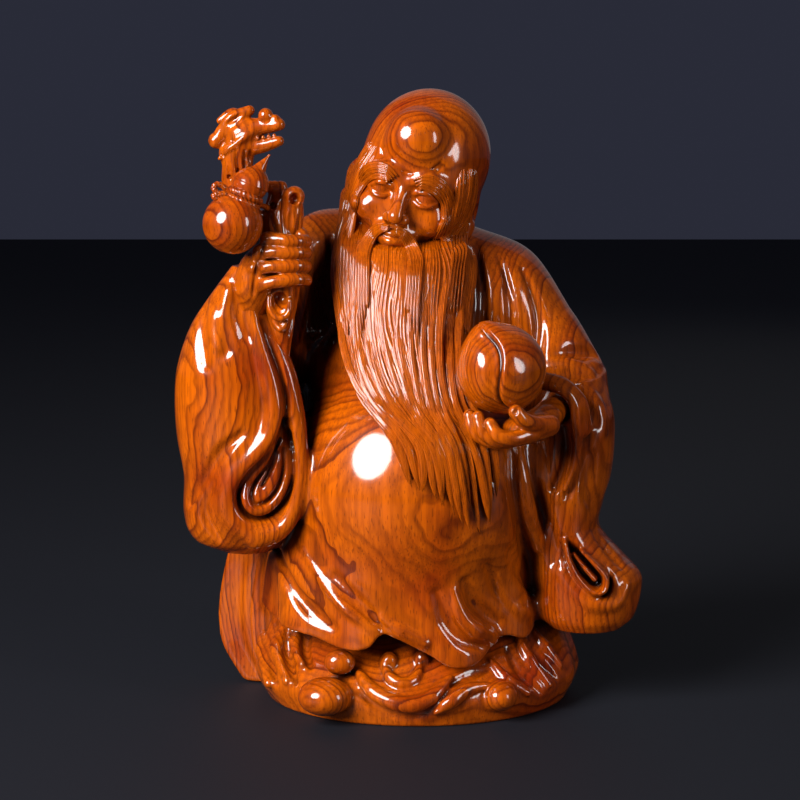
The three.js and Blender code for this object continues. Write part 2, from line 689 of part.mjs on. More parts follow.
function carveBrows(wood) {
  const half = inParts(browThickness) / 2;
  const falls = [
    [[-12, -62, 348], [-25, -61, 345], [-33, -56, 331], [-36, -54, 308], [-39, -58, 272]],
    [[17, -62, 340], [27, -58, 335], [33, -51, 318], [35, -50, 292], [36, -55, 262]],
    [[-35, -28, 342], [-40, -33, 320], [-44, -42, 294], [-46, -53, 264]],
    [[40, -26, 334], [42, -30, 310], [42, -38, 282], [40, -51, 252]],
  ];
  for (const line of falls) wood.add(limb(line, [0.6 * half, half, half, 0.9 * half]), 3);
  const moustaches = [
    [[-3, -67, 311], [-12, -67, 304], [-18, -69, 289], [-22, -77, 264]],
    [[3, -67, 310], [10, -67, 302], [12, -70, 286], [11, -79, 262]],
  ];
  for (const line of moustaches) wood.add(limb(line, [0.4 * half, 0.8 * half, 0.8 * half, 0.4 * half]), 2);
}

// The staff: a gnarled root with hollow stubs, and a dragon's head on a bent neck

function carveRoot(wood) {
  const half = inParts(staffDiameter) / 2;
  const [x, y, z] = gripCentre;
  const trunk = [[x - 1, y + 5, z - 62], [x - 3, y + 4, z - 46], [x - 4, y + 3, z - 30],
    [x - 2, y + 3, z - 16], [x - 1, y + 2, z + 8], [x + 3, y + 1, z + 24], [x + 4, y, z + 36]];
  const widths = [0.3, 0.8, 1.2, 1.25, 1.05, 0.9, 0.7].map((share) => share * half);
  wood.add(limb(trunk, widths), 3);
  wood.add(ball([x + 5, y - 2, z + 38], 0.75 * half));
  wood.cut(limb([[x + 6, y - 12, z + 38], [x + 5, y - 4, z + 36]], [0.45 * half, 0.35 * half]), 1);
  wood.add(limb([[x - 4, y + 4, z + 10], [x - 10, y + 5, z + 24], [x - 7, y + 4, z + 40]], [6, 4.6, 4]), 3);
  wood.add(limb([[x - 12, y + 3, z + 44], [x - 3, y + 2, z + 44]], [3.6, 3.4]));
  wood.cut(limb([[x - 6, y - 12, z - 30], [x - 4, y - 4, z - 25]], [0.7 * half, 0.5 * half]), 1.5);
}

function carveDragon(wood) {
  const neck = [[-82, -62, 304], [-98, -62, 318], [-107, -65, 334], [-105, -68, 350], [-103, -70, 362]];
  wood.add(limb(neck, [7, 7, 7.5, 9.5, 9]), 4);
  wood.add(egg([-109, -68, 356], [7.5, 7, 7]), 3);
  wood.add(egg([-100, -71, 369], [11, 8.5, 7]), 3);
  wood.add(limb([[-98, -72, 372], [-88, -74, 373], [-79, -77, 374]], [6, 5, 4]));
  wood.add(ball([-87, -76, 379.5], 4.6), 1.5);
  wood.add(ball([-81, -77, 377], 3.4), 1);
  wood.add(limb([[-102, -70, 360], [-90, -73, 361], [-79, -76, 364]], [6, 4.6, 3.4]));
  wood.cut(limb([[-97, -84, 367], [-76, -82, 369]], [1.8, 2.4], 3), 1);
  wood.add(limb([[-114, -70, 370], [-107, -72, 377], [-97, -73, 382.5]], [4, 5.4, 3.4], 0.8), 1.5);
  wood.add(limb([[-112, -69, 370], [-118, -68, 364]], [4, 5]));
  wood.add(limb([[-99, -62, 376], [-108, -60, 380], [-116, -60, 376]], [3, 4, 2.6]), 1.5);
}

// The gourd: two bulbs with a leaning stem and a cord round the waist, tied to the staff

function carveGourd(wood) {
  const lowerRadius = inParts(gourdDiameter) / 2;
  const upperRadius = 0.58 * lowerRadius;
  const lower = at(gourdCentre);
  const along = (distance) => lower.clone().addScaledVector(gourdAxis, distance).toArray();
  const upperPlace = 1.42 * lowerRadius;
  wood.add(ball(along(0), lowerRadius), 1.5);
  wood.add(ball(along(upperPlace), upperRadius), 4);
  const [tipX, tipY, tipZ] = along(upperPlace + 1.7 * upperRadius);
  const stem = [along(upperPlace), along(upperPlace + upperRadius), [tipX + 3, tipY, tipZ]];
  wood.add(limb(stem, [0.75 * upperRadius, 0.4 * upperRadius, 0.15 * upperRadius]), 3);
  const across = new THREE.Vector3().crossVectors(gourdAxis, at([0, 1, 0])).normalize();
  const inward = new THREE.Vector3().crossVectors(gourdAxis, across);
  const cord = Array.from({ length: 9 }, (_, n) => {
    const turn = (n / 8) * 2 * Math.PI;
    return at(along(0.93 * lowerRadius))
      .addScaledVector(across, 0.5 * lowerRadius * Math.cos(turn))
      .addScaledVector(inward, 0.5 * lowerRadius * Math.sin(turn))
      .toArray();
  });
  wood.add(limb(cord, [2.2, 2.2]), 1);
}

// The hand round the staff: four fingers stacked, their bones running back to the wrist

function carveGrip(wood) {
  const finger = inParts(fingerDiameter) / 2;
  const [x, y, z] = gripCentre;
  wood.add(egg([x - 18, y + 2, z - 12], [12, 11, 17]), 3);
  wood.add(limb([[x - 18, y + 4, z - 14], raisedWrist, raisedElbow], [2.9 * finger, 2.7 * finger, 16]), 4);
  const heights = [2.45, 0.9, -0.93, -2.8].map((share) => share * finger);
  const knuckles = [[x - 11, y - 10, z + 12], [x - 16, y - 9.5, z + 4], [x - 19, y - 8.5, z - 6],
    [x - 18.5, y - 7, z - 17]];
  const thickness = [1.05, 0.9, 1, 0.92, 0.9, 0.76].map((share) => share * finger);
  knuckles.forEach((knuckle, n) => {
    const top = z + heights[n];
    const bend = [knuckle[0] + 9, y - 13, (knuckle[2] + top) / 2];
    const curl = [knuckle, bend, [x + 2, y - 13, top], [x + 9, y - 10, top], [x + 12, y - 3, top - 1],
      [x + 8, y + 6, top - 2]];
    wood.add(limb(curl, thickness), 1);
    const root = knuckle.map((value, axis) => lerp(value, raisedWrist[axis], 0.9));
    wood.add(limb([knuckle, root], [finger, 0.9 * finger]));
  });
  const thumb = [[x - 8, y + 12, z + 4], [x + 2, y + 8, z + 16], [x + 9, y - 1, z + 14]];
  wood.add(limb(thumb, [1.3 * finger, 1.2 * finger, finger]), 1.5);
}

// The peach, and the open hand with its fingers curled up against it

function carvePeach(wood) {
  const radius = inParts(peachDiameter) / 2;
  const centre = at(peachCentre);
  const alongAxis = (distance) => centre.clone().addScaledVector(peachAxis, distance).toArray();
  wood.add(ball(peachCentre, radius), 1.5);
  wood.add(limb([alongAxis(0.4 * radius), alongAxis(1.14 * radius)], [0.6 * radius, 0.06 * radius]), 8);
  const side = at([-0.2, -1, 0]);
  side.addScaledVector(peachAxis, -side.dot(peachAxis)).normalize();
  const seam = [12, 45, 80, 110, 140].map((degrees) =>
    centre
      .clone()
      .addScaledVector(peachAxis, (radius + 1) * Math.cos(radians(degrees)))
      .addScaledVector(side, (radius + 1) * Math.sin(radians(degrees)))
      .toArray()
  );
  groove(wood, seam, 0.7, 4);
}

function carveOpenHand(wood) {
  const finger = inParts(fingerDiameter) / 2;
  wood.add(egg([74, -98, 190], [16, 17, 1.9 * finger]), 3);
  const arm = [[74, -97, 189], [86, -84, 193], [92, -66, 199], loweredElbow];
  wood.add(limb(arm, [2 * finger, 2.4 * finger, 2.7 * finger, 20]), 4);
  const fingers = [
    [[76, -111, 189], [63, -119, 186.5], [54, -121, 189], [49.5, -119, 195.5]],
    [[72, -106, 186], [57, -112, 184], [46, -113, 189], [42.5, -111, 198.5]],
    [[70, -98, 184], [53, -103, 182], [41, -104, 188], [37.5, -102, 198]],
    [[70, -90, 184], [53, -93, 182], [41, -95, 187], [35.5, -93, 195]],
  ];
  const thickness = [1.2, 1.07, 1, 0.87].map((share) => share * finger);
  for (const bones of fingers) wood.add(limb(bones, thickness), 1.2);
  const thumb = [[86, -102, 192], [77, -112, 194], [69.5, -119, 198], [65, -121, 203]];
  wood.add(limb(thumb, [1.55 * finger, 1.3 * finger, 1.1 * finger, finger]), 1.5);
}

// Folds of the robe beside the beard and down the back

function carveRobeFolds(wood) {
  const lapels = fan(
    [[44, 296], [48, 262], [46, 232], [52, 206]],
    [[74, 280], [84, 250], [82, 224], [78, 206]],
    3
  );
  for (const line of lapels) groove(wood, laid(wood, line), 0.9);
  groove(wood, laid(wood, [[-50, 300], [-47, 280], [-46, 258]]), 0.8);
  const backFolds = fan(
    [[-40, 268], [-52, 210], [-70, 140], [-84, 70]],
    [[48, 262], [58, 206], [68, 140], [76, 70]],
    5
  );
  for (const line of backFolds) groove(wood, laidBehind(wood, line), 1.4, 9);
  raise(wood, laidBehind(wood, [[-34, 302], [-14, 312], [12, 310], [36, 298]]), [4, 6, 6, 4]);
}

// The largest of the closed skins, without loose crumbs and sealed hollows.
function largestPart({ positions, triangles }) {
  const owner = Int32Array.from({ length: positions.length / 3 }, (_, v) => v);
  const find = (v) => {
    while (owner[v] !== v) v = owner[v] = owner[owner[v]];
    return v;
  };
  const size = new Int32Array(owner.length);
  triangles.forEach((v, n) => {
    owner[find(v)] = find(triangles[n - (n % 3)]);
  });
  triangles.forEach((v) => size[find(v)]++);
  const largest = size.indexOf(size.reduce((a, b) => Math.max(a, b)));
  return { positions, triangles: triangles.filter((v) => find(v) === largest) };
}

function carveFigure() {
  const wood = new WoodBlock(at([-164, -136, -16]), at([166, 98, 410]), gridStep);
  carveTorso(wood);
  carveSkirt(wood);
  carveTrain(wood);
  carveBase(wood);
  carveRaisedSleeve(wood);
  carveLoweredSleeve(wood);
  carveArmpit(wood);
  carveRobeFolds(wood);
  carveHead(wood);
  carveBeard(wood);
  carveBrows(wood);
  carveRoot(wood);
  carveDragon(wood);
  carveGourd(wood);
  carveGrip(wood);
  carvePeach(wood);
  carveOpenHand(wood);
  wood.sawBelow(0);
  wood.fillPinches();
  return largestPart(wood.skin());
}

// Fewer triangles: passes over the skin take out the edges whose loss moves it least, and each
// pass allows a little more. What an edge costs is the sum of its squared distances to the
// planes of the faces round it, kept for each point as the ten numbers of a quadric.

class ThinnedSkin {
  constructor({ positions, triangles }) {
    this.points = Float64Array.from(positions);
    this.faces = Int32Array.from(triangles);
    this.left = triangles.length / 3;
    this.facesOf = Array.from({ length: positions.length / 3 }, () => []);
    this.faces.forEach((v, corner) => this.facesOf[v].push(Math.floor(corner / 3)));
    this.seen = new Int32Array(this.facesOf.length);
    this.stamp = 0;
    this.quadrics = new Float64Array(10 * this.facesOf.length);
    this.place = new Float64Array(3);
    for (let f = 0; f < this.left; f++) this.addPlane(f);
  }

  // The cross product of two sides of a face, with point v moved to the chosen place, if given.
  normal(f, v = -1) {
    const { faces, points, place } = this;
    const [a, b, c] = [faces[3 * f], faces[3 * f + 1], faces[3 * f + 2]];
    const get = (corner, axis) => (corner === v ? place[axis] : points[3 * corner + axis]);
    const ux = get(b, 0) - get(a, 0);
    const uy = get(b, 1) - get(a, 1);
    const uz = get(b, 2) - get(a, 2);
    const vx = get(c, 0) - get(a, 0);
    const vy = get(c, 1) - get(a, 1);
    const vz = get(c, 2) - get(a, 2);
    return [uy * vz - uz * vy, uz * vx - ux * vz, ux * vy - uy * vx];
  }

  addPlane(f) {
    const { faces, points, quadrics } = this;
    const n = this.normal(f);
    const area = Math.hypot(...n) || 1;
    const a = faces[3 * f];
    const offset = -(n[0] * points[3 * a] + n[1] * points[3 * a + 1] + n[2] * points[3 * a + 2]);
    const plane = [n[0], n[1], n[2], offset];
    for (let corner = 0; corner < 3; corner++) {
      let slot = 10 * faces[3 * f + corner];
      for (let i = 0; i < 4; i++) {
        for (let j = i; j < 4; j++) quadrics[slot++] += (plane[i] * plane[j]) / area;
      }
    }
  }

  // Sets this.place to the best of the places for the point that replaces an edge, and returns
  // its cost: the middle and the ends are tried, and the place where the quadric is least.
  collapse(a, b) {
    const { points, quadrics, place } = this;
    const quadricA = 10 * a;
    const quadricB = 10 * b;
    const xx = quadrics[quadricA] + quadrics[quadricB];
    const xy = quadrics[quadricA + 1] + quadrics[quadricB + 1];
    const xz = quadrics[quadricA + 2] + quadrics[quadricB + 2];
    const xw = quadrics[quadricA + 3] + quadrics[quadricB + 3];
    const yy = quadrics[quadricA + 4] + quadrics[quadricB + 4];
    const yz = quadrics[quadricA + 5] + quadrics[quadricB + 5];
    const yw = quadrics[quadricA + 6] + quadrics[quadricB + 6];
    const zz = quadrics[quadricA + 7] + quadrics[quadricB + 7];
    const zw = quadrics[quadricA + 8] + quadrics[quadricB + 8];
    const ww = quadrics[quadricA + 9] + quadrics[quadricB + 9];
    let least = Infinity;
    const attempt = (x, y, z) => {
      const alongX = x * (xx * x + 2 * (xy * y + xz * z + xw));
      const alongY = y * (yy * y + 2 * (yz * z + yw));
      const cost = alongX + alongY + z * (zz * z + 2 * zw) + ww;
      if (cost >= least) return;
      least = cost;
      place[0] = x;
      place[1] = y;
      place[2] = z;
    };
    const [ax, ay, az] = [points[3 * a], points[3 * a + 1], points[3 * a + 2]];
    const [bx, by, bz] = [points[3 * b], points[3 * b + 1], points[3 * b + 2]];
    const [mx, my, mz] = [(ax + bx) / 2, (ay + by) / 2, (az + bz) / 2];
    attempt(mx, my, mz);
    attempt(ax, ay, az);
    attempt(bx, by, bz);
    const minorX = yy * zz - yz * yz;
    const minorY = xy * zz - yz * xz;
    const minorZ = xy * yz - yy * xz;
    const volume = xx * minorX - xy * minorY + xz * minorZ;
    if (volume > 1e-4 * (xx + yy + zz) ** 3) {
      const bestX = -(xw * minorX - xy * (yw * zz - yz * zw) + xz * (yw * yz - yy * zw)) / volume;
      const bestY = -(xx * (yw * zz - yz * zw) - xw * minorY + xz * (xy * zw - yw * xz)) / volume;
      const bestZ = -(xx * (yy * zw - yw * yz) - xy * (xy * zw - yw * xz) + xw * minorZ) / volume;
      const away = (bestX - mx) ** 2 + (bestY - my) ** 2 + (bestZ - mz) ** 2;
      if (away < (3 * gridStep) ** 2) attempt(bestX, bestY, bestZ);
    }
    return least;
  }

  // How many points are joined to both ends of an edge: two where it can go.
  sharedNeighbours(a, b) {
    const { faces, facesOf, seen } = this;
    const stamp = (this.stamp += 2);
    for (const f of facesOf[a]) for (let n = 0; n < 3; n++) seen[faces[3 * f + n]] = stamp;
    seen[a] = 0;
    seen[b] = 0;
    let shared = 0;
    for (const f of facesOf[b]) {
      for (let n = 0; n < 3; n++) {
        const v = faces[3 * f + n];
        if (seen[v] !== stamp) continue;
        seen[v] = stamp + 1;
        shared++;
      }
    }
    return shared;
  }

  holds(f, v) {
    const { faces } = this;
    return faces[3 * f] === v || faces[3 * f + 1] === v || faces[3 * f + 2] === v;
  }

  // Whether a face round v would turn too far if v moved to the chosen place.
  turns(v, other) {
    return this.facesOf[v].some((f) => {
      if (this.holds(f, other)) return false;
      const before = this.normal(f);
      const after = this.normal(f, v);
      const dot = before[0] * after[0] + before[1] * after[1] + before[2] * after[2];
      return dot < 0.35 * Math.hypot(...before) * Math.hypot(...after);
    });
  }

  join(a, b) {
    const { faces, facesOf, points, quadrics, place } = this;
    for (const f of facesOf[b]) {
      if (this.holds(f, a)) {
        for (let n = 0; n < 3; n++) {
          const v = faces[3 * f + n];
          if (v !== b) facesOf[v] = facesOf[v].filter((other) => other !== f);
        }
        faces[3 * f] = -1;
        this.left--;
      } else {
        for (let n = 0; n < 3; n++) if (faces[3 * f + n] === b) faces[3 * f + n] = a;
        facesOf[a].push(f);
      }
    }
    facesOf[b] = [];
    for (let n = 0; n < 3; n++) points[3 * a + n] = place[n];
    for (let n = 0; n < 10; n++) quadrics[10 * a + n] += quadrics[10 * b + n];
  }

  thin(budget) {
    const { faces } = this;
    for (let limit = 0.2; this.left > budget; limit *= 2) {
      for (let corner = 0; corner < faces.length && this.left > budget; corner++) {
        const a = faces[corner];
        if (faces[corner - (corner % 3)] < 0) continue;
        const b = faces[corner % 3 === 2 ? corner - 2 : corner + 1];
        if (a > b) continue;
        if (this.collapse(a, b) > limit || this.sharedNeighbours(a, b) !== 2) continue;
        if (!this.turns(a, b) && !this.turns(b, a)) this.join(a, b);
      }
    }
    return { positions: this.points, triangles: faces.filter((v, n) => faces[n - (n % 3)] >= 0) };
  }
}

// Points that the thinning left just off the sawn underside go back on it.
function setOnFloor(positions) {
  for (let n = 2; n < positions.length; n += 3) {
    if (positions[n] < gridStep / 3) positions[n] = 0;
  }
}

function carvedGeometry() {
  const { positions, triangles } = new ThinnedSkin(carveFigure()).thin(triangleBudget);
  setOnFloor(positions);
  const scattered = new THREE.BufferGeometry();
  scattered.setAttribute('position', new THREE.Float32BufferAttribute(positions, 3));
  scattered.setIndex(Array.from(triangles));
  const geometry = mergeVertices(scattered.toNonIndexed(), 1e-4);
  geometry.scale(part, part, part);
  geometry.computeVertexNormals();
  return geometry;
}

const rosewood = new THREE.MeshStandardMaterial({ color: 0xa8480f, roughness: 0.25, metalness: 0 });
const figure = new THREE.Mesh(carvedGeometry(), rosewood);
figure.name = 'shou_lao_figure';

const carving = new THREE.Group();
carving.add(figure);

export default carving;
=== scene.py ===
"""The looks of a lacquered rosewood carving of the old man of long life."""

import functools
import math

import bpy
import numpy as np
from bpy.props import FloatProperty, FloatVectorProperty, PointerProperty
from mathutils import Euler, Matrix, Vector


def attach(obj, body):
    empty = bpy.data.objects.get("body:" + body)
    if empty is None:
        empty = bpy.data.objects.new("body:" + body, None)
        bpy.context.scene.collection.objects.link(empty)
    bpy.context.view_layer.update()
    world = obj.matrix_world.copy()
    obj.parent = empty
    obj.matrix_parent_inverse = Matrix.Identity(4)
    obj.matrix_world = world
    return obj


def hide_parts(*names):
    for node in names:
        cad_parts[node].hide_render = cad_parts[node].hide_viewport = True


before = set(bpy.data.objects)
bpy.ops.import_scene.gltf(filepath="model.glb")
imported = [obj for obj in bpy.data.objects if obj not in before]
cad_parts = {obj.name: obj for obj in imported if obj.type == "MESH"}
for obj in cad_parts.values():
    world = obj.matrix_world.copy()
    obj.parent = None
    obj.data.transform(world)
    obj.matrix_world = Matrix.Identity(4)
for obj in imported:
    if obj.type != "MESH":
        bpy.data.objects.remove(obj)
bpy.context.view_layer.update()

bl_info = {
    "name": "Rosewood Shou Lao",
    "version": (1, 0, 0),
    "blender": (4, 5, 0),
    "location": "3D View > Sidebar > Carving",
    "description": "Carves and lacquers a rosewood figure of the old man of long life",
    "category": "Add Mesh",
}

NODE = "shou_lao_figure"
BODY = "root"

# Lengths are in millimetres up to the meshes and in metres from there

MM = 0.001
FAR = 40.0
BEYOND = 400
BOX_SLACK = 6
DRAFT_CELL = 2.5
FINE_DRAFT_CELL = 1.5
FLOOR_GAP = 0.5

# Landmarks of the pose

HEAD_PLACE = (3, -24, 333)
HEAD_TURN = (3, 14, -9)
BELLY_CENTRE = (8, -22, 140)
PEACH_CENTRE = (57, -98, 226)
PEACH_AXIS = (-0.43, -0.2, 0.88)
GRIP_CENTRE = (-75, -70, 292)
GOURD_CENTRE = (-107, -86, 314)
GOURD_AXIS = (11, 2, 24)
RAISED_SHOULDER = (-50, 6, 284)
RAISED_ELBOW = (-112, -6, 196)
RAISED_WRIST = (-97, -60, 262)
LOWERED_SHOULDER = (52, 4, 257)
LOWERED_ELBOW = (101, -16, 209)
PEACH_RADIUS = 27.5
GOURD_RADIUS = 18.5


# Wood as a field of distances


class WoodBlock:
    """A box of cubic cells that holds, at each corner, the distance to the skin of the wood.

    It is below zero inside the wood. A form is blended in over a width called soft: with a and
    b the two distances and h = max(soft - |a - b|, 0), the new one is min(a, b) - h h / 4 soft.
    """

    def __init__(self, low, high, cell):
        self.low = np.array(low, np.float32)
        self.cell = cell
        count = np.ceil((np.array(high) - low) / cell).astype(int) + 1
        self.field = np.full(count, FAR, np.float32)
        self.axes = [self.low[n] + cell * np.arange(count[n], dtype=np.float32) for n in range(3)]

    def blend(self, shape, soft, sign):
        low, high, distance = shape
        margin = soft + 2 * self.cell
        cuts = []
        for axis, bottom, top in zip(self.axes, low, high):
            cuts.append(slice(*np.searchsorted(axis, (bottom - margin, top + margin))))
        here = self.field[tuple(cuts)]
        if not here.size:
            return
        form = distance(*(axis[cut] for axis, cut in zip(self.axes, cuts)), margin)
        here = sign * here
        overlap = np.maximum(soft - np.abs(here - form), 0)
        self.field[tuple(cuts)] = sign * (np.minimum(here, form) - overlap * overlap / (4 * soft))

    def keep_within(self, low, high, soft=3.0):
        """Ends the wood at the sides of a box, each by the same soft blend."""
        for axis, (bottom, top) in enumerate(zip(low, high)):
            place = self.axes[axis].reshape([-1 if n == axis else 1 for n in range(3)])
            for beyond in (bottom - place, place - top):
                overlap = np.maximum(soft - np.abs(self.field - beyond), 0)
                self.field = np.maximum(self.field, beyond) + overlap * overlap / (4 * soft)

    def front(self, x, z, behind=False):
        """The value of y where the wood is first met along y, at one place of the front view."""
        i = int(np.clip(round((x - self.low[0]) / self.cell), 0, len(self.axes[0]) - 1))
        k = int(np.clip(round((z - self.low[2]) / self.cell), 0, len(self.axes[2]) - 1))
        row = self.field[i, :, k]
        places = self.axes[1]
        if behind:
            row = row[::-1]
            places = places[::-1]
        met = int(np.argmax(row < 0))
        if row[met] >= 0 or met == 0:
            return None
        share = row[met - 1] / (row[met - 1] - row[met])
        return float(places[met - 1] + share * (places[met] - places[met - 1]))

    def sample(self, points):
        """The field at any points, from the eight corners round each."""
        place = (points - self.low) / self.cell
        base = np.clip(np.floor(place).astype(int), 0, np.array(self.field.shape) - 2)
        t = np.clip(place - base, 0, 1)
        total = np.zeros(len(points))
        for a, b, c in np.ndindex(2, 2, 2):
            weight = np.ones(len(points))
            for axis, side in enumerate((a, b, c)):
                weight *= t[:, axis] if side else 1 - t[:, axis]
            total += weight * self.field[base[:, 0] + a, base[:, 1] + b, base[:, 2] + c]
        return total

    def slope(self, points, step):
        """How the field changes along x, y and z."""
        units = step * np.eye(3)
        rises = [self.sample(points + unit) - self.sample(points - unit) for unit in units]
        return np.stack(rises, axis=1) / (2 * step)

    def skin(self):
        """The skin as quads through one point in each cell that it crosses.

        The point is the mean of where the cell's edges cross the skin, and is then moved along
        the field's slope by the field divided by the slope squared, which sets it on the skin.
        """
        field = self.field
        inside = field < 0
        shape = np.array(field.shape)
        corners = sum(
            inside[a : shape[0] - 1 + a, b : shape[1] - 1 + b, c : shape[2] - 1 + c].astype(np.int8)
            for a, b, c in np.ndindex(2, 2, 2)
        )
        cells = np.argwhere((corners > 0) & (corners < 8))
        number = np.full(shape - 1, -1, np.int32)
        number[tuple(cells.T)] = np.arange(len(cells))
        total = np.zeros((len(cells), 3))
        hits = np.zeros(len(cells))
        units = np.eye(3, dtype=int)
        for axis in range(3):
            u, v = units[(axis + 1) % 3], units[(axis + 2) % 3]
            for a, b in np.ndindex(2, 2):
                start = cells + a * u + b * v
                first = field[tuple(start.T)]
                second = field[tuple((start + units[axis]).T)]
                crossing = (first < 0) != (second < 0)
                share = first[crossing] / (first[crossing] - second[crossing])
                corner = start[crossing] - cells[crossing]
                total[crossing] += corner + share[:, None] * units[axis]
                hits[crossing] += 1
        verts = self.low + self.cell * (cells + total / hits[:, None])
        quads = []
        for axis in range(3):
            u, v = units[(axis + 1) % 3], units[(axis + 2) % 3]
            near = [slice(1, -1)] * 3
            beyond = list(near)
            near[axis] = slice(0, -1)
            beyond[axis] = slice(1, None)
            edges = np.argwhere(inside[tuple(near)] != inside[tuple(beyond)]) + 1 - units[axis]
            ring = [edges, edges - u, edges - u - v, edges - v]
            quad = np.stack([number[tuple(corner.T)] for corner in ring], axis=1)
            outward = inside[tuple(edges.T)]
            quad[~outward] = quad[~outward][:, ::-1]
            quads.append(quad)
        quads = largest_part(np.concatenate(quads), len(verts))
        used, quads = np.unique(quads, return_inverse=True)
        verts = verts[used]
        longest = 0.4 * self.cell
        flattest = 0.2
        for _ in range(2):
            slope = self.slope(verts, 0.5 * self.cell)
            move = self.sample(verts) / np.maximum((slope**2).sum(1), flattest)
            verts = verts - np.clip(move[:, None] * slope, -longest, longest)
        return verts, quads.reshape(-1, 4)


def largest_part(quads, count):
    """Only the quads of the largest closed skin, without loose crumbs and sealed hollows."""
    label = np.arange(count)
    while True:
        new = label.copy()
        np.minimum.at(new, quads, label[quads].min(1)[:, None])
        new = new[new]
        if (new == label).all():
            break
        label = new
    owner = label[quads[:, 0]]
    return quads[owner == np.bincount(owner).argmax()]


class Carving:
    """The strokes of a carving in order, and a coarse draft that shows where its wood is."""

    def __init__(self, low, high, cell=DRAFT_CELL):
        self.strokes = []
        self.draft = WoodBlock(low, high, cell)

    def stroke(self, shape, soft, sign):
        self.strokes.append((shape, soft, sign))
        self.draft.blend(shape, soft, sign)

    def add(self, shape, soft=2.0):
        self.stroke(shape, soft, 1)

    def cut(self, shape, soft):
        self.stroke(shape, soft, -1)

    def laid(self, line, sink=0.0, behind=False):
        """A line of the front view, as pairs x and z, laid on the wood and sunk by a depth."""
        met = [(x, self.draft.front(x, z, behind), z) for x, z in line]
        inward = -sink if behind else sink
        return [(x, y + inward, z) for x, y, z in met if y is not None]

    def touch(self, outside, inside, lift):
        """Where a straight way from outside first comes within a distance of the wood."""
        tries = 300
        way = between(outside, inside, np.linspace(0, 1, tries)[:, None])
        return way[np.argmax(self.draft.sample(way) < lift)]

    def ridge(self, line, heights, soft=4.0, sink=0.0, behind=False):
        self.add(limb(self.laid(line, sink, behind), heights), soft)

    def groove(self, line, width, soft=4.0, sink=0.0, behind=False):
        ends = 0.4 * width
        self.cut(limb(self.laid(line, sink, behind), [ends, width, width, ends]), soft)

    def valley(self, line, width, depth, soft=7.0, sink=0.0):
        """A deep groove with rounded shoulders."""
        widths = [0.4 * width, width, width, 0.7 * width]
        self.cut(limb(self.laid(line, sink), widths, depth / width), soft)

    def block(self, low, high, cell):
        wood = WoodBlock(low, high, cell)
        for stroke in self.strokes:
            wood.blend(*stroke)
        return wood


# Shapes: the lowest and highest corner of a box that holds it, and its distance on a grid


def box_of(points, margin):
    points = np.array(points, float)
    return points.min(0) - margin, points.max(0) + margin


def turned(degrees):
    return np.array(Euler([math.radians(angle) for angle in degrees], "XYZ").to_matrix())


def egg(centre, radii, turn=None):
    """A ball stretched along three axes: size (size - 1) / slope, with size = |p / radii|."""
    matrix = np.eye(3) if turn is None else turned(turn)

    def distance(x, y, z, margin):
        offset = (
            x[:, None, None] - np.float32(centre[0]),
            y[None, :, None] - np.float32(centre[1]),
            z[None, None, :] - np.float32(centre[2]),
        )
        size2 = np.float32(0)
        slope2 = np.float32(0)
        for axis, radius in enumerate(radii):
            along = sum(np.float32(matrix[row, axis] / radius) * offset[row] for row in range(3))
            along = along * along
            size2 = size2 + along
            slope2 = slope2 + along / np.float32(radius**2)
        size = np.sqrt(size2)
        return size * (size - 1) / np.maximum(np.sqrt(slope2), np.float32(1e-6))

    return (*box_of([centre], max(radii)), distance)


def ball(centre, radius):
    return egg(centre, (radius, radius, radius))


def smooth_line(points, count):
    """Points along a curve through the given ones, each span a cubic with shared slopes."""
    points = np.array(points, float)
    before = 2 * points[:1] - points[1:2]
    after = 2 * points[-1:] - points[-2:-1]
    padded = np.concatenate([before, points, after])
    place = np.linspace(0, len(points) - 1, count)
    n = np.minimum(place.astype(int), len(points) - 2)
    t = (place - n)[:, None]
    a, b, c, d = padded[n], padded[n + 1], padded[n + 2], padded[n + 3]
    bend = (2 * a - 5 * b + 4 * c - d) * t**2 + (3 * b - a - 3 * c + d) * t**3
    return 0.5 * (2 * b + (c - a) * t + bend)


def spread(values, count):
    """Values interpolated evenly to a new count."""
    return np.interp(np.linspace(0, 1, count), np.linspace(0, 1, len(values)), values)


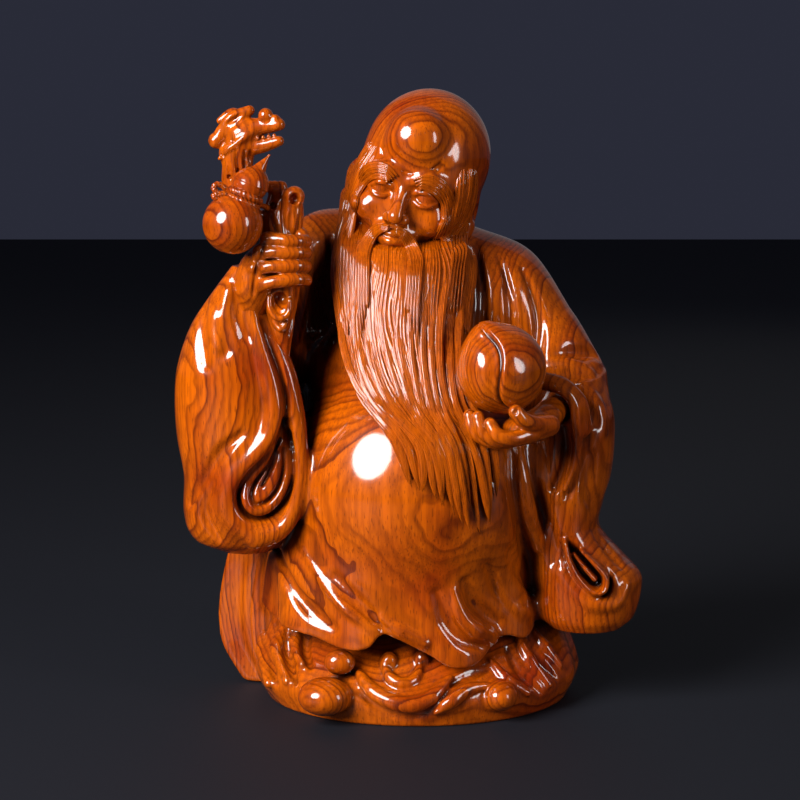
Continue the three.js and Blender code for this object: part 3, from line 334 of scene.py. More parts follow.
def limb(points, radii, deep=1.0):
    """A rod along a smooth curve, as the skin round a row of balls that change evenly in size.

    For each short stretch the nearest ball stands at the foot of the point on the stretch, moved
    by the slope of the radius times the point's distance from the line. Deep above 1 stretches
    the rod from front to back, and below 1 flattens it.
    """
    stretches = 5
    count = stretches * (len(points) - 1) + 1
    path = smooth_line(points, count).astype(np.float32)
    radius = spread(radii, count).astype(np.float32)
    reach = float(max(radii)) * max(1, deep)

    def distance(x, y, z, margin):
        nearest = np.full((len(x), len(y), len(z)), 1e3, np.float32)
        around = reach + margin
        for n in range(count - 1):
            low = np.minimum(path[n], path[n + 1]) - around
            high = np.maximum(path[n], path[n + 1]) + around
            cuts = [slice(*np.searchsorted(a, (low[m], high[m]))) for m, a in enumerate((x, y, z))]
            start = path[n] / (1, deep, 1)
            along = path[n + 1] / (1, deep, 1) - start
            length2 = max(float(along @ along), 1e-9)
            px = x[cuts[0]][:, None, None] - np.float32(start[0])
            py = y[cuts[1]][None, :, None] / np.float32(deep) - np.float32(start[1])
            pz = z[cuts[2]][None, None, :] - np.float32(start[2])
            ax, ay, az = (np.float32(value) for value in along)
            growth = float(radius[n + 1] - radius[n])
            share = (px * ax + py * ay + pz * az) / np.float32(length2)
            away2 = px * px + py * py + pz * pz
            off2 = np.maximum(away2 - share * share * np.float32(length2), 0)
            lean = growth / math.sqrt(length2 * max(length2 - growth**2, 0.1 * length2))
            share = np.clip(share + np.float32(lean) * np.sqrt(off2), 0, 1)
            away = np.sqrt((px - share * ax) ** 2 + (py - share * ay) ** 2 + (pz - share * az) ** 2)
            away = away - radius[n] - share * np.float32(growth)
            here = nearest[tuple(cuts)]
            np.minimum(here, away * np.float32(min(1, deep)), out=here)
        return nearest

    return (*box_of(path, reach), distance)


def through_rows(rows, places):
    """Smooth values through rows of numbers, the first of each being where the row holds."""
    rows = np.array(rows, float)
    at, values = rows[:, 0], rows[:, 1:]
    before = np.maximum(np.arange(len(at)) - 1, 0)
    after = np.minimum(np.arange(len(at)) + 1, len(at) - 1)
    slopes = (values[after] - values[before]) / (at[after] - at[before])[:, None]
    places = np.clip(places, at[0], at[-1])
    n = np.clip(np.searchsorted(at, places, side="right") - 1, 0, len(at) - 2)
    span = (at[n + 1] - at[n])[..., None]
    t = (places - at[n])[..., None] / span
    ease = t * t * (3 - 2 * t)
    bend = t * (1 - t) * span * ((1 - t) * slopes[n] - t * slopes[n + 1])
    return values[n] * (1 - ease) + values[n + 1] * ease + bend


def column(rows, reach=None, above=None):
    """Level oval sections, each row holding z, left, right, front and back.

    Reach(angle, z) may push the side out, as folds do, and above(x, y) is a height that the
    column starts from.
    """
    table = np.array(rows, float)
    low = (table[:, 1].min() - BOX_SLACK, table[:, 3].min() - BOX_SLACK, table[0, 0])
    high = (table[:, 2].max() + BOX_SLACK, table[:, 4].max() + BOX_SLACK, table[-1, 0])

    def distance(x, y, z, margin):
        sections = through_rows(rows, z).astype(np.float32)
        left, right, front, back = (sections[None, None, :, n] for n in range(4))
        half_width = (right - left) / 2
        half_depth = (back - front) / 2
        u = (x[:, None, None] - (left + right) / 2) / half_width
        v = (y[None, :, None] - (front + back) / 2) / half_depth
        side = (np.sqrt(u * u + v * v) - 1) * np.minimum(half_width, half_depth)
        level = z[None, None, :]
        if reach is not None:
            side = side - reach(np.arctan2(v, u), level)
        side = np.maximum(side, np.maximum(table[0, 0] - level, level - table[-1, 0]))
        if above is not None:
            side = np.maximum(side, above(x[:, None, None], y[None, :, None]) - level)
        return side.astype(np.float32)

    return low, high, distance


def between(first, last, share):
    return (1 - share) * np.array(first, float) + share * np.array(last, float)


def fan(first, last, count):
    return [between(first, last, n / (count - 1)) for n in range(count)]


def unit(vectors):
    vectors = np.asarray(vectors, float)
    return vectors / np.maximum(np.linalg.norm(vectors, axis=-1, keepdims=True), 1e-9)


# The robe


def carve_torso(wood):
    wood.add(egg(BELLY_CENTRE, (86, 82, 86)))
    wood.add(egg((2, 6, 232), (70, 54, 78)), 24)
    wood.add(limb([RAISED_SHOULDER, (-4, 4, 286), LOWERED_SHOULDER], [30, 32, 40]), 18)
    wood.add(limb([(2, 12, 280), (4, 4, 298)], [30, 25]), 12)
    wood.add(limb([LOWERED_SHOULDER, (80, -4, 236), LOWERED_ELBOW], [40, 31, 27]), 14)
    wood.add(limb([RAISED_SHOULDER, (-84, 4, 236), RAISED_ELBOW], [30, 29, 30]), 14)


HEM_FRONT = [
    (-100, 66), (-87, 57), (-62, 52), (-42, 47), (-25, 49), (-17, 57), (-8, 55), (4, 49), (15, 43),
    (26, 36.5), (40, 36), (49, 41), (55, 49), (63, 51), (75, 48), (84, 55), (100, 62),
]


def hem_height(x, y):
    """The hem's height: a wavy line in front, and lower and level behind."""
    share = np.clip((y + 10) / 60, 0, 1)
    return through_rows(HEM_FRONT, x)[..., 0] * (1 - share) + 20 * share


def carve_skirt(wood):
    def folds(angle, z):
        flare = np.clip((115 - z) / 75, 0, 1)
        return 3 * flare * np.cos(11 * angle + 0.8 * np.sin(2 * angle) + z / 45)

    rows = [
        (15, -96, 92, -92, 76),
        (40, -97, 92, -92, 78),
        (62, -95, 92, -91, 76),
        (90, -92, 91, -91, 72),
        (140, -82, 90, -84, 64),
    ]
    wood.add(column(rows, folds, hem_height), 8)
    hollows = [
        ([(-86, 104), (-76, 84), (-62, 68), (-47, 59)], 3.5),
        ([(-46, 92), (-32, 78), (-20, 67), (-12, 62)], 3.5),
        ([(18, 84), (24, 66), (34, 54), (46, 48)], 3.5),
        ([(36, 90), (42, 76), (50, 66), (58, 60)], 3.5),
        ([(50, 100), (58, 82), (68, 70), (80, 64)], 3),
        ([(66, 108), (74, 88), (84, 74), (92, 68)], 3),
    ]
    for line, width in hollows:
        wood.groove(line, width, 6)
    tongues = [
        ([(-66, 106), (-52, 86), (-38, 72), (-20, 61)], [0.5, 1.5, 2.4, 1.5]),
        ([(-16, 68), (-4, 60), (10, 52)], [2, 4, 3]),
        ([(28, 86), (34, 69), (43, 58), (53, 51)], [1, 4, 6, 4]),
        ([(56, 92), (62, 76), (71, 66), (82, 59)], [1, 3.5, 5, 3.5]),
    ]
    for line, heights in tongues:
        wood.ridge(line, heights)


def carve_train(wood):
    """Cloth that falls to the ground behind the skirt and beside it."""

    def folds(angle, z):
        depth = 1 + 2.4 * np.clip((150 - z) / 130, 0, 1)
        broad = np.cos(11 * angle + 1.4 * np.sin(2 * angle))
        narrow = np.cos(25 * angle + 2 * np.sin(3 * angle + 1))
        return depth * (broad + 0.4 * narrow)

    rows = [
        (-6, -100, 96, -34, 78),
        (30, -120, 94, -20, 84),
        (80, -118, 92, -16, 80),
        (125, -103, 92, -10, 70),
        (170, -84, 84, -10, 60),
        (205, -70, 76, -8, 54),
    ]
    wood.add(column(rows, folds), 10)


def carve_raised_sleeve(wood):
    """A broad bag that hangs from the wrist, open in a drop of nested folds."""
    rows = [
        (101, -120, -88, -54, -22),
        (108, -137, -78, -64, -8),
        (124, -144, -68, -71, 0),
        (150, -144, -63, -74, 4),
        (175, -148, -64, -75, 4),
        (198, -149, -68, -75, 2),
        (220, -147, -72, -75, -2),
        (246, -138, -80, -74, -12),
        (266, -125, -85, -73, -28),
        (286, -110, -91, -68, -48),
    ]
    wood.add(column(rows), 7)
    back_band = [
        (-90, -62, 258), (-84, -63, 238), (-76, -64, 217), (-70, -65, 193), (-68, -66, 168),
        (-68.5, -66, 147), (-72.5, -66, 131), (-81, -66, 119), (-96, -66, 113),
    ]
    wood.add(limb(back_band, [3, 5, 5.5, 5.5, 5.5, 6]), 6)
    band_face = [(-93, -62, 252), (-86, -62, 236), (-79, -63, 216), (-76, -63, 196)]
    wood.add(limb(band_face, [5, 7, 8, 7]), 6)
    bowl = [(-78, -88, 188), (-84, -88, 173), (-91, -87, 158), (-93, -86, 147), (-91, -86, 137)]
    wood.cut(limb(bowl, [9, 15, 19, 19, 16]), 5)
    front_lip = [
        (-98, -69, 258), (-92, -70, 238), (-87, -71, 220), (-84, -71, 205), (-83.5, -71, 193),
        (-87, -71, 180), (-96, -71, 168), (-106, -70, 157), (-113, -69, 146), (-114, -68, 135),
        (-108, -67, 125), (-97, -67, 118), (-85, -66, 118),
    ]
    wood.add(limb(front_lip, [3, 5.5, 6, 6, 6, 6.5, 5]), 5)
    seam = [(-91, -72, 252), (-86, -72, 237), (-79.5, -73, 219), (-76, -73, 203), (-76, -73, 191)]
    width = 1.6
    wood.cut(limb(seam, [0.4 * width, width, width, 0.7 * width], 5 / width), 3)
    outer_fold = [
        (-78, 190), (-81, 178), (-89.5, 166), (-99.5, 155), (-105, 145), (-104.5, 134.5),
        (-98, 128.5), (-87.5, 129.5), (-78, 139), (-73, 153), (-72.5, 167), (-75, 181),
    ]
    wood.valley(outer_fold, 2.4, 6, 3, sink=0.5)
    first_ridge = [
        (-79.5, 184), (-84.5, 171), (-93, 159.5), (-101, 149.5), (-101.5, 139.5), (-96.5, 132.5),
        (-88, 133.5), (-80, 142.5), (-75.5, 156), (-75.5, 170),
    ]
    heights = [1, 3, 3.4, 3.4, 3.4, 3.2, 3, 2.6, 2, 1]
    wood.ridge(first_ridge, heights, 2, sink=1.2)
    inner_fold = [
        (-80.5, 178), (-87.5, 162), (-95, 151.5), (-98.5, 143), (-96, 136.5), (-89, 138),
        (-82, 146.5), (-78.5, 159), (-78.5, 171),
    ]
    wood.valley(inner_fold, 1.4, 4, 2, sink=0.5)
    wood.valley([(-81.5, 169), (-87.5, 156), (-92, 147.5)], 1.4, 4, 2, sink=0.5)
    wood.groove([(-104, 182), (-117, 170), (-128, 153), (-139, 134)], 3.2, 5)
    wood.groove([(-123, 150), (-129, 132), (-119, 113)], 2.8, 4)
    cuff_folds = fan([(-108, 276), (-106, 262), (-101, 244)], [(-128, 260), (-130, 246), (-127, 226)], 3)
    for line in cuff_folds:
        wood.groove(line, 2.6, 8)
    wood.ridge([(-111, 270), (-117, 254), (-117, 236)], [2.4, 5, 2.4], 6, sink=2)


def carve_lowered_sleeve(wood):
    """Folds that fall from the elbow and the wrist to a flared corner."""
    rows = [
        (51, 92, 138, -62, -14),
        (58, 85, 146, -66, -8),
        (76, 80, 151, -68, -4),
        (86, 78, 150, -68, -2),
        (98, 77, 139, -67, 2),
        (116, 74, 124, -66, 6),
        (132, 73, 126, -66, 8),
        (150, 72, 131, -67, 10),
        (172, 72, 133, -68, 10),
        (190, 74, 132, -66, 8),
        (212, 78, 125, -54, 8),
    ]
    wood.add(column(rows), 8)
    wood.valley([(65, 178), (66, 153), (70, 128), (75, 103), (82, 76)], 3.6, 7, sink=1)
    wood.valley([(74, 172), (78, 152), (84, 133), (91, 112), (94, 98)], 3.2, 6, sink=1)
    wood.ridge([(70, 172), (73, 152), (77, 132), (83, 106)], [2, 3, 3.5, 2], 5, sink=1)
    wood.groove([(103, 206), (111, 190), (108, 168), (100, 142)], 4.4, 6)
    wood.ridge([(99, 198), (104, 184), (102, 166), (95, 140)], [1, 3, 3, 1], 6, sink=1)
    wood.groove([(116, 166), (114, 146), (119, 130), (132, 115), (141, 102)], 3.6, 6)
    wood.groove([(97, 226), (108, 228), (120, 226)], 3.6, 7)
    wood.ridge([(88, 218), (101, 220), (114, 215)], [3, 5, 3], 6, sink=2)
    wood.groove([(92, 209), (104, 209), (114, 201), (119, 188)], 3, 6)
    wood.ridge([(112, 206), (119, 196), (122, 180)], [2, 4, 2], 6, sink=2)
    cuff = [(84, -70, 216), (95, -72, 210), (104, -70, 200), (108, -68, 186)]
    wood.add(limb(cuff, [5, 8, 8.5, 7]), 6)
    wood.cut(limb([(76, -104, 193), (88, -78, 197), (95, -58, 202)], [14, 12.5, 11]), 2.5)
    cuff_edge = [
        (85, -73, 212), (96, -77, 209.5), (103, -77.5, 201.5), (105, -76, 191), (106, -73, 178),
        (104.5, -70, 162), (99, -68, 146),
    ]
    wood.add(limb(cuff_edge, [2.2, 3, 3.3, 3.3, 3, 2.4, 1.2]), 2.5)
    wood.valley([(98, 184), (99, 172), (97, 158), (92, 146)], 2.2, 5, 4, sink=0.5)
    pocket = [(98, -70, 113), (104, -70, 101), (112, -70, 90), (119, -69, 84)]
    wood.cut(limb(pocket, [4, 8, 10.5, 11.5], 1.7), 3)
    nested = [
        (99, -66, 112), (102, -65, 100), (108, -64, 89), (117, -63, 80), (124, -63, 81), (125, -63, 89),
        (119, -64, 97), (110, -65, 106),
    ]
    wood.add(limb(nested, [1.6, 2.2, 2.4, 2.6, 2.6, 2.4, 2.2, 1.4], 4), 1.5)
    wood.add(limb([(105, -64, 104), (112, -63, 95), (118, -62, 88)], [1.2, 2, 2.2], 4), 1.5)
    rim = [(90, 120), (94, 103), (103, 85), (117, 72), (132, 72), (139, 82)]
    wood.ridge(rim, [1, 3, 4, 4.4, 4, 2], 4, sink=1.5)
    wood.groove([(118, 118), (127, 104), (136, 94)], 2.4, 5)


def carve_armpit(wood):
    """The dark space between the raised arm and the chest."""
    hollow = [(-57, -46, 292), (-56, -42, 264), (-59, -40, 236), (-62, -40, 214)]
    wood.cut(limb(hollow, [5, 9, 9, 4], 2.5), 6)
    beside_beard = [(-50, -44, 298), (-49, -42, 272), (-50, -40, 246), (-55, -42, 222)]
    wood.cut(limb(beside_beard, [4, 10, 10, 4], 3), 5)


def carve_robe_folds(wood):
    """Folds of the robe beside the beard and down the back."""
    lapels = fan(
        [(44, 296), (48, 262), (46, 232), (52, 206)], [(74, 280), (84, 250), (82, 224), (78, 206)], 3
    )
    for line in lapels:
        wood.groove(line, 3.2)
    wood.groove([(-50, 300), (-47, 280), (-46, 258)], 2.8)
    back_folds = fan(
        [(-40, 268), (-52, 210), (-70, 140), (-84, 70)], [(48, 262), (58, 206), (68, 140), (76, 70)], 5
    )
    for line in back_folds:
        wood.groove(line, 5, 9, behind=True)
    wood.ridge([(-34, 302), (-14, 312), (12, 310), (36, 298)], [4, 6, 6, 4], behind=True)


@functools.lru_cache(1)
def robe():
    wood = Carving((-162, -128, -4), (162, 98, 332))
    carve_torso(wood)
    carve_skirt(wood)
    carve_train(wood)
    carve_raised_sleeve(wood)
    carve_lowered_sleeve(wood)
    carve_armpit(wood)
    carve_robe_folds(wood)
    return wood


# The base


@functools.lru_cache(1)
def base():
    """A low mound of cloth and cloud with two shoes and swags between them."""
    wood = Carving((-122, -120, -4), (130, 100, 78))

    def flutes(angle, z):
        depth = 0.7 + 1.6 * np.clip(np.sin(angle), 0, 1)
        return depth * np.cos(19 * angle) * np.clip(z / 20, 0, 1)

    def level(z, width, front, back):
        return z, 6 - 106 * width, 6 + 106 * width, -8 - 90 * front, -8 + 90 * back

    levels = [
        level(-9, 0.9, 0.96, 0.98),
        level(0, 0.93, 0.98, 0.99),
        level(16, 1, 1, 1),
        level(29, 0.98, 0.88, 0.98),
        level(45, 0.92, 0.68, 0.94),
        level(67, 0.86, 0.55, 0.92),
    ]
    wood.add(column(levels, flutes), 5)
    wood.cut(egg((0, -102, 37), (38, 22, 14)), 5)
    wood.add(egg((-52, -90, 18), (17, 16, 12)), 2)
    wood.add(egg((58, -84, 17), (11, 13, 9.5)), 2)
    wood.add(egg((-43, -82, 38), (10, 8, 8)), 3)
    swags = [
        ([(-31, 31), (-22, 22), (-8, 16.5), (5, 15.5), (16, 20), (26, 29)], [2.5, 5, 5.5, 5.5, 5, 2.5]),
        ([(-16, 37), (-11, 29), (-3.5, 26), (4, 28), (8, 35)], [2, 3.4, 3.8, 3.4, 2]),
        ([(17, 11), (27, 17), (37, 22.5), (49, 24)], [2.5, 4.5, 4.5, 2.5]),
    ]
    for line, heights in swags:
        wood.ridge(line, heights, 1.5, sink=-1.5)
    wood.groove([(-30, 21), (-18, 12), (-4, 8.5), (8, 9), (18, 14)], 2.6, 3)
    wood.groove([(27, 25), (37, 29), (50, 31)], 2.4, 3)
    for place in ((-12, 37), (9, 38)):
        for spot in wood.laid([place], 1):
            wood.add(egg(spot, (5.5, 6, 6.5)), 1.5)
            wood.cut(ball(spot + np.array((1, -6.5, -1)), 1.8), 1)
    leaves = [
        ([(-92, 44), (-96, 30), (-90, 15)], [2, 4.4, 3]),
        ([(-79, 50), (-84, 36), (-77, 20)], [2, 6, 3]),
        ([(-70, 53), (-73, 42), (-67, 31)], [2, 5.5, 3]),
        ([(52, 36), (62, 26), (76, 16)], [1.5, 4, 2.4]),
        ([(68, 50), (77, 34), (90, 18)], [1.5, 4.6, 2.4]),
        ([(80, 50), (88, 38), (98, 26)], [1.5, 4.6, 2.4]),
    ]
    for line, heights in leaves:
        wood.ridge(line, heights, 1.5, sink=-0.5)
    furrows = [
        [(-87, 46), (-90, 32), (-84, 16)],
        [(-73, 48), (-78, 36), (-71, 20)],
        [(-64, 48), (-66, 38), (-62, 30)],
        [(63, 40), (71, 28), (84, 15)],
        [(76, 46), (83, 33), (95, 20)],
    ]
    for line in furrows:
        wood.groove(line, 3, 3)
    return wood


# The head, carved in a frame of its own: x across, y to the back, z up from the eyes

SKULL = ((4, 4, 21), (40, 43, 43))
JAW = ((0, -3, -8), (34, 35, 37))


@functools.lru_cache(1)
def head():
    wood = Carving((-52, -60, -58), (54, 56, 72), FINE_DRAFT_CELL)
    wood.add(egg(*SKULL), 6)
    wood.add(egg(*JAW), 16)
    wood.add(limb([(0, 6, -20), (0, 10, -56)], [26, 26]), 8)
    bump = np.array((0, -29, 33.5))
    wood.add(egg(bump, (19.5, 17, 19.5)), 5)
    for away in (20.6, 23.2):
        turns = np.radians(np.linspace(207, 333, 9))
        arc = [(bump[0] + away * math.cos(turn), bump[2] + away * math.sin(turn)) for turn in turns]
        wood.groove(arc, 1.3, 2, sink=0.3)
    for side in (-1, 1):

        def to(x, y, z):
            return side * x, y, z

        wood.add(limb([to(4, -38, 9), to(14, -37, 13), to(26, -30, 8)], [3, 4.2, 3]), 5)
        wood.cut(egg(to(14.5, -42, 1), (9.5, 6.5, 6)), 4)
        wood.add(ball(to(14.5, -31.5, 0.5), 8), 1.5)
        upper_lid = [to(6, -36, 0), to(10, -39.6, 3.4), to(15.5, -40.2, 4), to(22, -35.5, -0.5)]
        wood.add(limb(upper_lid, [0.9, 1.6, 1.7, 1.1]), 1.2)
        lower_lid = [to(6, -36, -1), to(11, -38.6, -4.4), to(16.5, -38.4, -4.6), to(22, -35, -1.5)]
        wood.add(limb(lower_lid, [0.8, 1.3, 1.3, 0.9]), 1.2)
        wood.add(ball(to(6.5, -35.5, 4.5), 3.2), 3)
        crease = [to(9.5, -40, 7.4), to(13, -40, 8.4), to(18, -38.6, 7.8), to(24, -34, 3)]
        wood.cut(limb(crease, [0.6, 1, 1, 0.6]), 1.6)
        wood.add(egg(to(20, -28, -14), (9, 8, 9)), 6)
        wood.add(ball(to(5.4, -41.5, -15.5), 3.5), 2.2)
        wood.cut(egg(to(3.8, -44.2, -19.2), (2, 2.6, 1.5)), 1)
        fold = [to(10, -42, -13), to(14, -40.5, -19), to(17, -36, -28)]
        wood.cut(limb(fold, [1, 1.5, 1]), 3)
        wood.add(egg(to(39, 4, -6), (4.5, 9, 15)), 3)
        wood.add(limb([to(39, 1, -16), to(37, -2, -32)], [5.5, 5]), 3)
        wood.cut(egg(to(44, 1, -3), (3, 4.5, 8)), 2)
        for n in range(3):
            start = to(25, -32.5 + n, 2 - 2.5 * n)
            end = to(31, -26.5 + n, 5 - 4.5 * n)
            wood.cut(limb([start, end], [0.8, 0.5]), 1)
    wood.add(limb([(0, -36.5, 8), (0, -41, -4), (0, -45, -14)], [3, 3.8, 5]), 3)
    wood.add(egg((0, -33, -27), (14, 9, 9)), 6)
    wood.add(limb([(-9, -38.5, -25), (0, -42.2, -25.4), (9, -38.5, -25)], [1.2, 2.3, 1.2]), 1.3)
    wood.add(limb([(-8, -38.5, -29), (0, -41.6, -30.2), (8, -38.5, -29)], [1.2, 2.5, 1.2]), 1.3)
    wood.cut(limb([(-10, -40, -27), (0, -43.4, -27.6), (10, -40, -27)], [0.6, 0.8, 0.6]), 1)
    return wood


def head_to_world(points):
    return points @ turned(HEAD_TURN).T + HEAD_PLACE


# The staff with its dragon, and the hand round it


@functools.lru_cache(1)
def staff():
    """A gnarled root with hollow stubs, and a dragon's head on a bent neck."""
    wood = Carving((-128, -104, 218), (-48, -38, 394), FINE_DRAFT_CELL)
    carve_root(wood)
    carve_dragon(wood)
    return wood


def about_grip(*places):
    """Places that are given from the middle of the grip, as places of the figure."""
    return [tuple(start + way for start, way in zip(GRIP_CENTRE, place)) for place in places]


def carve_root(wood):
    trunk = about_grip(
        (-1, 5, -62), (-3, 4, -46), (-4, 3, -30), (-2, 3, -16), (-1, 2, 8), (3, 1, 24), (4, 0, 36)
    )
    wood.add(limb(trunk, [2, 6.5, 10, 10.5, 9, 7.5, 6]), 3)
    wood.add(ball(*about_grip((5, -2, 38)), 6.4))
    wood.cut(limb(about_grip((6, -12, 38), (5, -4, 36)), [4, 3]), 1)
    wood.add(limb(about_grip((-4, 4, 10), (-10, 5, 24), (-7, 4, 40)), [6, 4.6, 4]), 3)
    wood.add(limb(about_grip((-12, 3, 44), (-3, 2, 44)), [3.6, 3.4]))
    for n in range(4):
        notch = GRIP_CENTRE[0] - 12.5 + 3.2 * n
        (_, near, top), (_, far, low) = about_grip((0, -4, 49), (0, 6, 48))
        wood.cut(limb([(notch, near, top), (notch + 1, far, low)], [1, 1]), 1)
    wood.cut(limb(about_grip((-6, -12, -30), (-4, -4, -25)), [6, 4.5]), 1.5)
    whorl = about_grip((-11, -5, -24), (-10, -6, -32), (-5, -7, -37), (1, -7, -34), (2, -7, -26))
    wood.add(limb(whorl, [1.4, 2, 2.2, 2, 1.4]), 1.5)
    wood.add(limb(about_grip((-8, -3, -40), (-4, -4, -44), (0, -4, -40)), [1.2, 2, 1.2]), 1.5)
    wood.add(limb(about_grip((-4, 4, 8), (-4, 4, 24), (-3, 4, 35)), [10, 9.5, 7]), 3)
    wood.cut(limb(about_grip((-9, -10, 33), (-8, 0, 32)), [2.6, 2]), 1)
    long_lines = [
        (about_grip((-9, 0, 27), (-8, 0, 20), (-4, 0, 11)), 2),
        (about_grip((-1, 0, 36), (-3, 0, 26), (-1, 0, 12)), 2.2),
        (about_grip((3, 0, 27), (2, 0, 19), (5, 0, 12)), 1.6),
        (about_grip((5, 0, -18), (5, 0, -32), (1, 0, -48)), 1.8),
        (about_grip((6, 0, 12), (8, 0, 26)), 1.2),
    ]
    for line, width in long_lines:
        wood.groove([(x, z) for x, _, z in line], width, 2)


def carve_dragon(wood):
    neck = [(-82, -62, 304), (-98, -62, 318), (-107, -65, 334), (-105, -68, 350), (-103, -70, 362)]
    wood.add(limb(neck, [7, 7, 7.5, 9.5, 9]), 4)
    wood.add(egg((-109, -68, 356), (7.5, 7, 7)), 3)
    wood.add(egg((-100, -71, 369), (11, 8.5, 7)), 3)
    upper_jaw = [(-98, -72, 372), (-88, -74, 373), (-79, -77, 374)]
    wood.add(limb(upper_jaw, [6, 5, 4]))
    wood.add(ball((-87, -76, 379.5), 4.6), 1.5)
    wood.add(ball((-81, -77, 377), 3.2), 1)
    lower_jaw = [(-102, -70, 360), (-90, -73, 361), (-79, -76, 364)]
    wood.add(limb(lower_jaw, [6, 4.6, 3.2]))
    wood.cut(limb([(-97, -84, 367), (-76, -82, 369)], [1.6, 2.2], 3), 1)
    for n in range(4):
        wood.add(ball((-92 + 3.4 * n, -76.5, 365.6 + 0.6 * n), 1.3), 0.6)
    crest = [(-114, -70, 370), (-107, -72, 377), (-97, -73, 382.5)]
    wood.add(limb(crest, [4, 5.4, 3.2], 0.8), 1.5)
    wood.add(limb([(-112, -69, 370), (-118, -68, 364)], [4, 5]), 2)
    wood.add(limb([(-99, -62, 376), (-108, -60, 380), (-116, -60, 376)], [3, 4, 2.4]), 1.5)
    jowl = [(-91, -75, 374), (-100, -79, 366), (-110, -77, 359), (-116, -73, 353)]
    wood.add(limb(jowl, [1, 1.8, 1.8, 1]), 2)
    mane = [
        [(-105, 358), (-104, 344)],
        [(-100, 358), (-100, 346)],
        [(-96.5, 358), (-97, 351)],
        [(-110, 350), (-109, 338)],
        [(-111, 374), (-102, 380)],
    ]
    for line in mane:
        wood.groove(line, 1.5, 1.5)
    for place in ((-107, 364), (-114, 355), (-110, 342), (-104.5, 346)):
        for spot in wood.laid([place], 0.6):
            wood.cut(ball(spot, 1.4), 0.6)


@functools.lru_cache(1)
def gripping_hand():
    """Four fingers laid across the staff, their bones running back to the wrist."""
    wood = Carving((-128, -104, 236), (-50, -20, 322), 2)
    x, y, z = GRIP_CENTRE
    wood.add(egg(*about_grip((-18, 1, -10)), (13, 12.5, 19), (0, 24, 0)), 3)
    wood.add(limb([*about_grip((-18, 4, -14)), RAISED_WRIST, RAISED_ELBOW], [13, 12, 16]), 4)
    heights = (11, 4, -4.2, -12.6)
    knuckles = about_grip((-11, -10, 12), (-16, -9.5, 4), (-19, -8.5, -6), (-18.5, -7, -17))
    for knuckle, height in zip(knuckles, heights):
        top = z + height
        bend = (knuckle[0] + 9, y - 13, 0.5 * (knuckle[2] + top) + 0.5)
        curl = [
            knuckle, bend, (x + 2, y - 13, top), (x + 9, y - 10, top), (x + 12, y - 3, top - 1),
            (x + 8, y + 6, top - 2),
        ]
        wood.add(limb(curl, [4.7, 4, 4.4, 4.1, 4, 3.4]), 1)
        wrist = np.array(RAISED_WRIST) + (0, -5, 2)
        middle = between(knuckle, wrist, 0.55) + (-1, -2, 0)
        wood.add(limb([knuckle, middle, wrist], [4.5, 3.4, 4]), 2)
    wood.add(egg(*about_grip((-20, 0, -14)), (10, 10.5, 15), (0, 30, 0)), 3)
    for upper, lower in zip(knuckles, knuckles[1:-1]):
        start = between(upper, lower, 0.5)
        end = between(start, RAISED_WRIST, 0.75)
        middle = between(start, end, 0.5)
        wood.groove([(place[0], place[2]) for place in (start, middle, end)], 1, 2, sink=0.2)
    wood.add(limb(about_grip((-8, 12, 4), (2, 8, 16), (9, -1, 14)), [6, 5.4, 4.4]), 1.5)
    return wood


@functools.lru_cache(1)
def open_hand():
    """A palm under the peach, its four fingers and thumb curled up against it."""
    wood = Carving((18, -140, 168), (124, -20, 232), 2)
    wood.add(egg((74, -98, 190), (16, 17, 8.5)), 3)
    forearm = [(74, -97, 189), (84, -86, 194), (91, -68, 198), (101, -30, 208)]
    wood.add(limb(forearm, [9, 9.5, 9.5, 10]), 4)
    fingers = [
        [(76, -111, 189), (63, -119, 186.5), (54, -121, 189), (49.5, -119, 195.5)],
        [(72, -106, 186), (57, -112, 184), (46, -113, 189), (42.5, -111, 198.5)],
        [(70, -98, 184), (53, -103, 182), (41, -104, 188), (37.5, -102, 198)],
        [(70, -90, 184), (53, -93, 182), (41, -95, 187), (35.5, -93, 195)],
    ]
    for bones in fingers:
        wood.add(limb(bones, [5.4, 4.8, 4.5, 3.9]), 1.2)
    thumb = [(86, -102, 192), (77, -112, 194), (69.5, -119, 198), (65, -121, 203)]
    wood.add(limb(thumb, [7, 5.8, 5, 4.6]), 1.5)
    wood.cut(limb([(66, -126, 206), (64.5, -125.5, 203)], [1.6, 1.6]), 0.6)
    return wood


# Surfaces of two parameters: points in rows along a shape, each row a closed ring round it


def closed_rings(points, hollow=0.0, strand=0.0):
    """A mesh of rows of rings, quads between them and a fan of triangles at either end.

    Its last item holds, for each point, how much painted shade and dark staining it takes and its
    place across the strands of hair.
    """
    rows, columns, _ = points.shape
    r, c = np.meshgrid(np.arange(rows - 1), np.arange(columns), indexing="ij")
    after = (c + 1) % columns
    ring = [r * columns + c, r * columns + after, (r + 1) * columns + after, (r + 1) * columns + c]
    quads = np.stack(ring, axis=-1).reshape(-1, 4)
    first = rows * columns
    place = np.arange(columns)
    beyond = (place + 1) % columns
    last_row = (rows - 1) * columns
    start_fan = np.stack([beyond, place, np.full(columns, first)], axis=1)
    end_fan = np.stack([last_row + place, last_row + beyond, np.full(columns, first + 1)], axis=1)
    poles = np.stack([points[0].mean(0), points[-1].mean(0)])
    verts = np.concatenate([points.reshape(-1, 3), poles])
    marks = np.zeros((len(verts), 2))
    for column_number, values in enumerate((hollow, strand)):
        marks[:first, column_number] = np.broadcast_to(values, (rows, columns)).reshape(-1)
        marks[first:, column_number] = marks[:first, column_number].mean()
    return verts, quads, np.concatenate([start_fan, end_fan]), marks


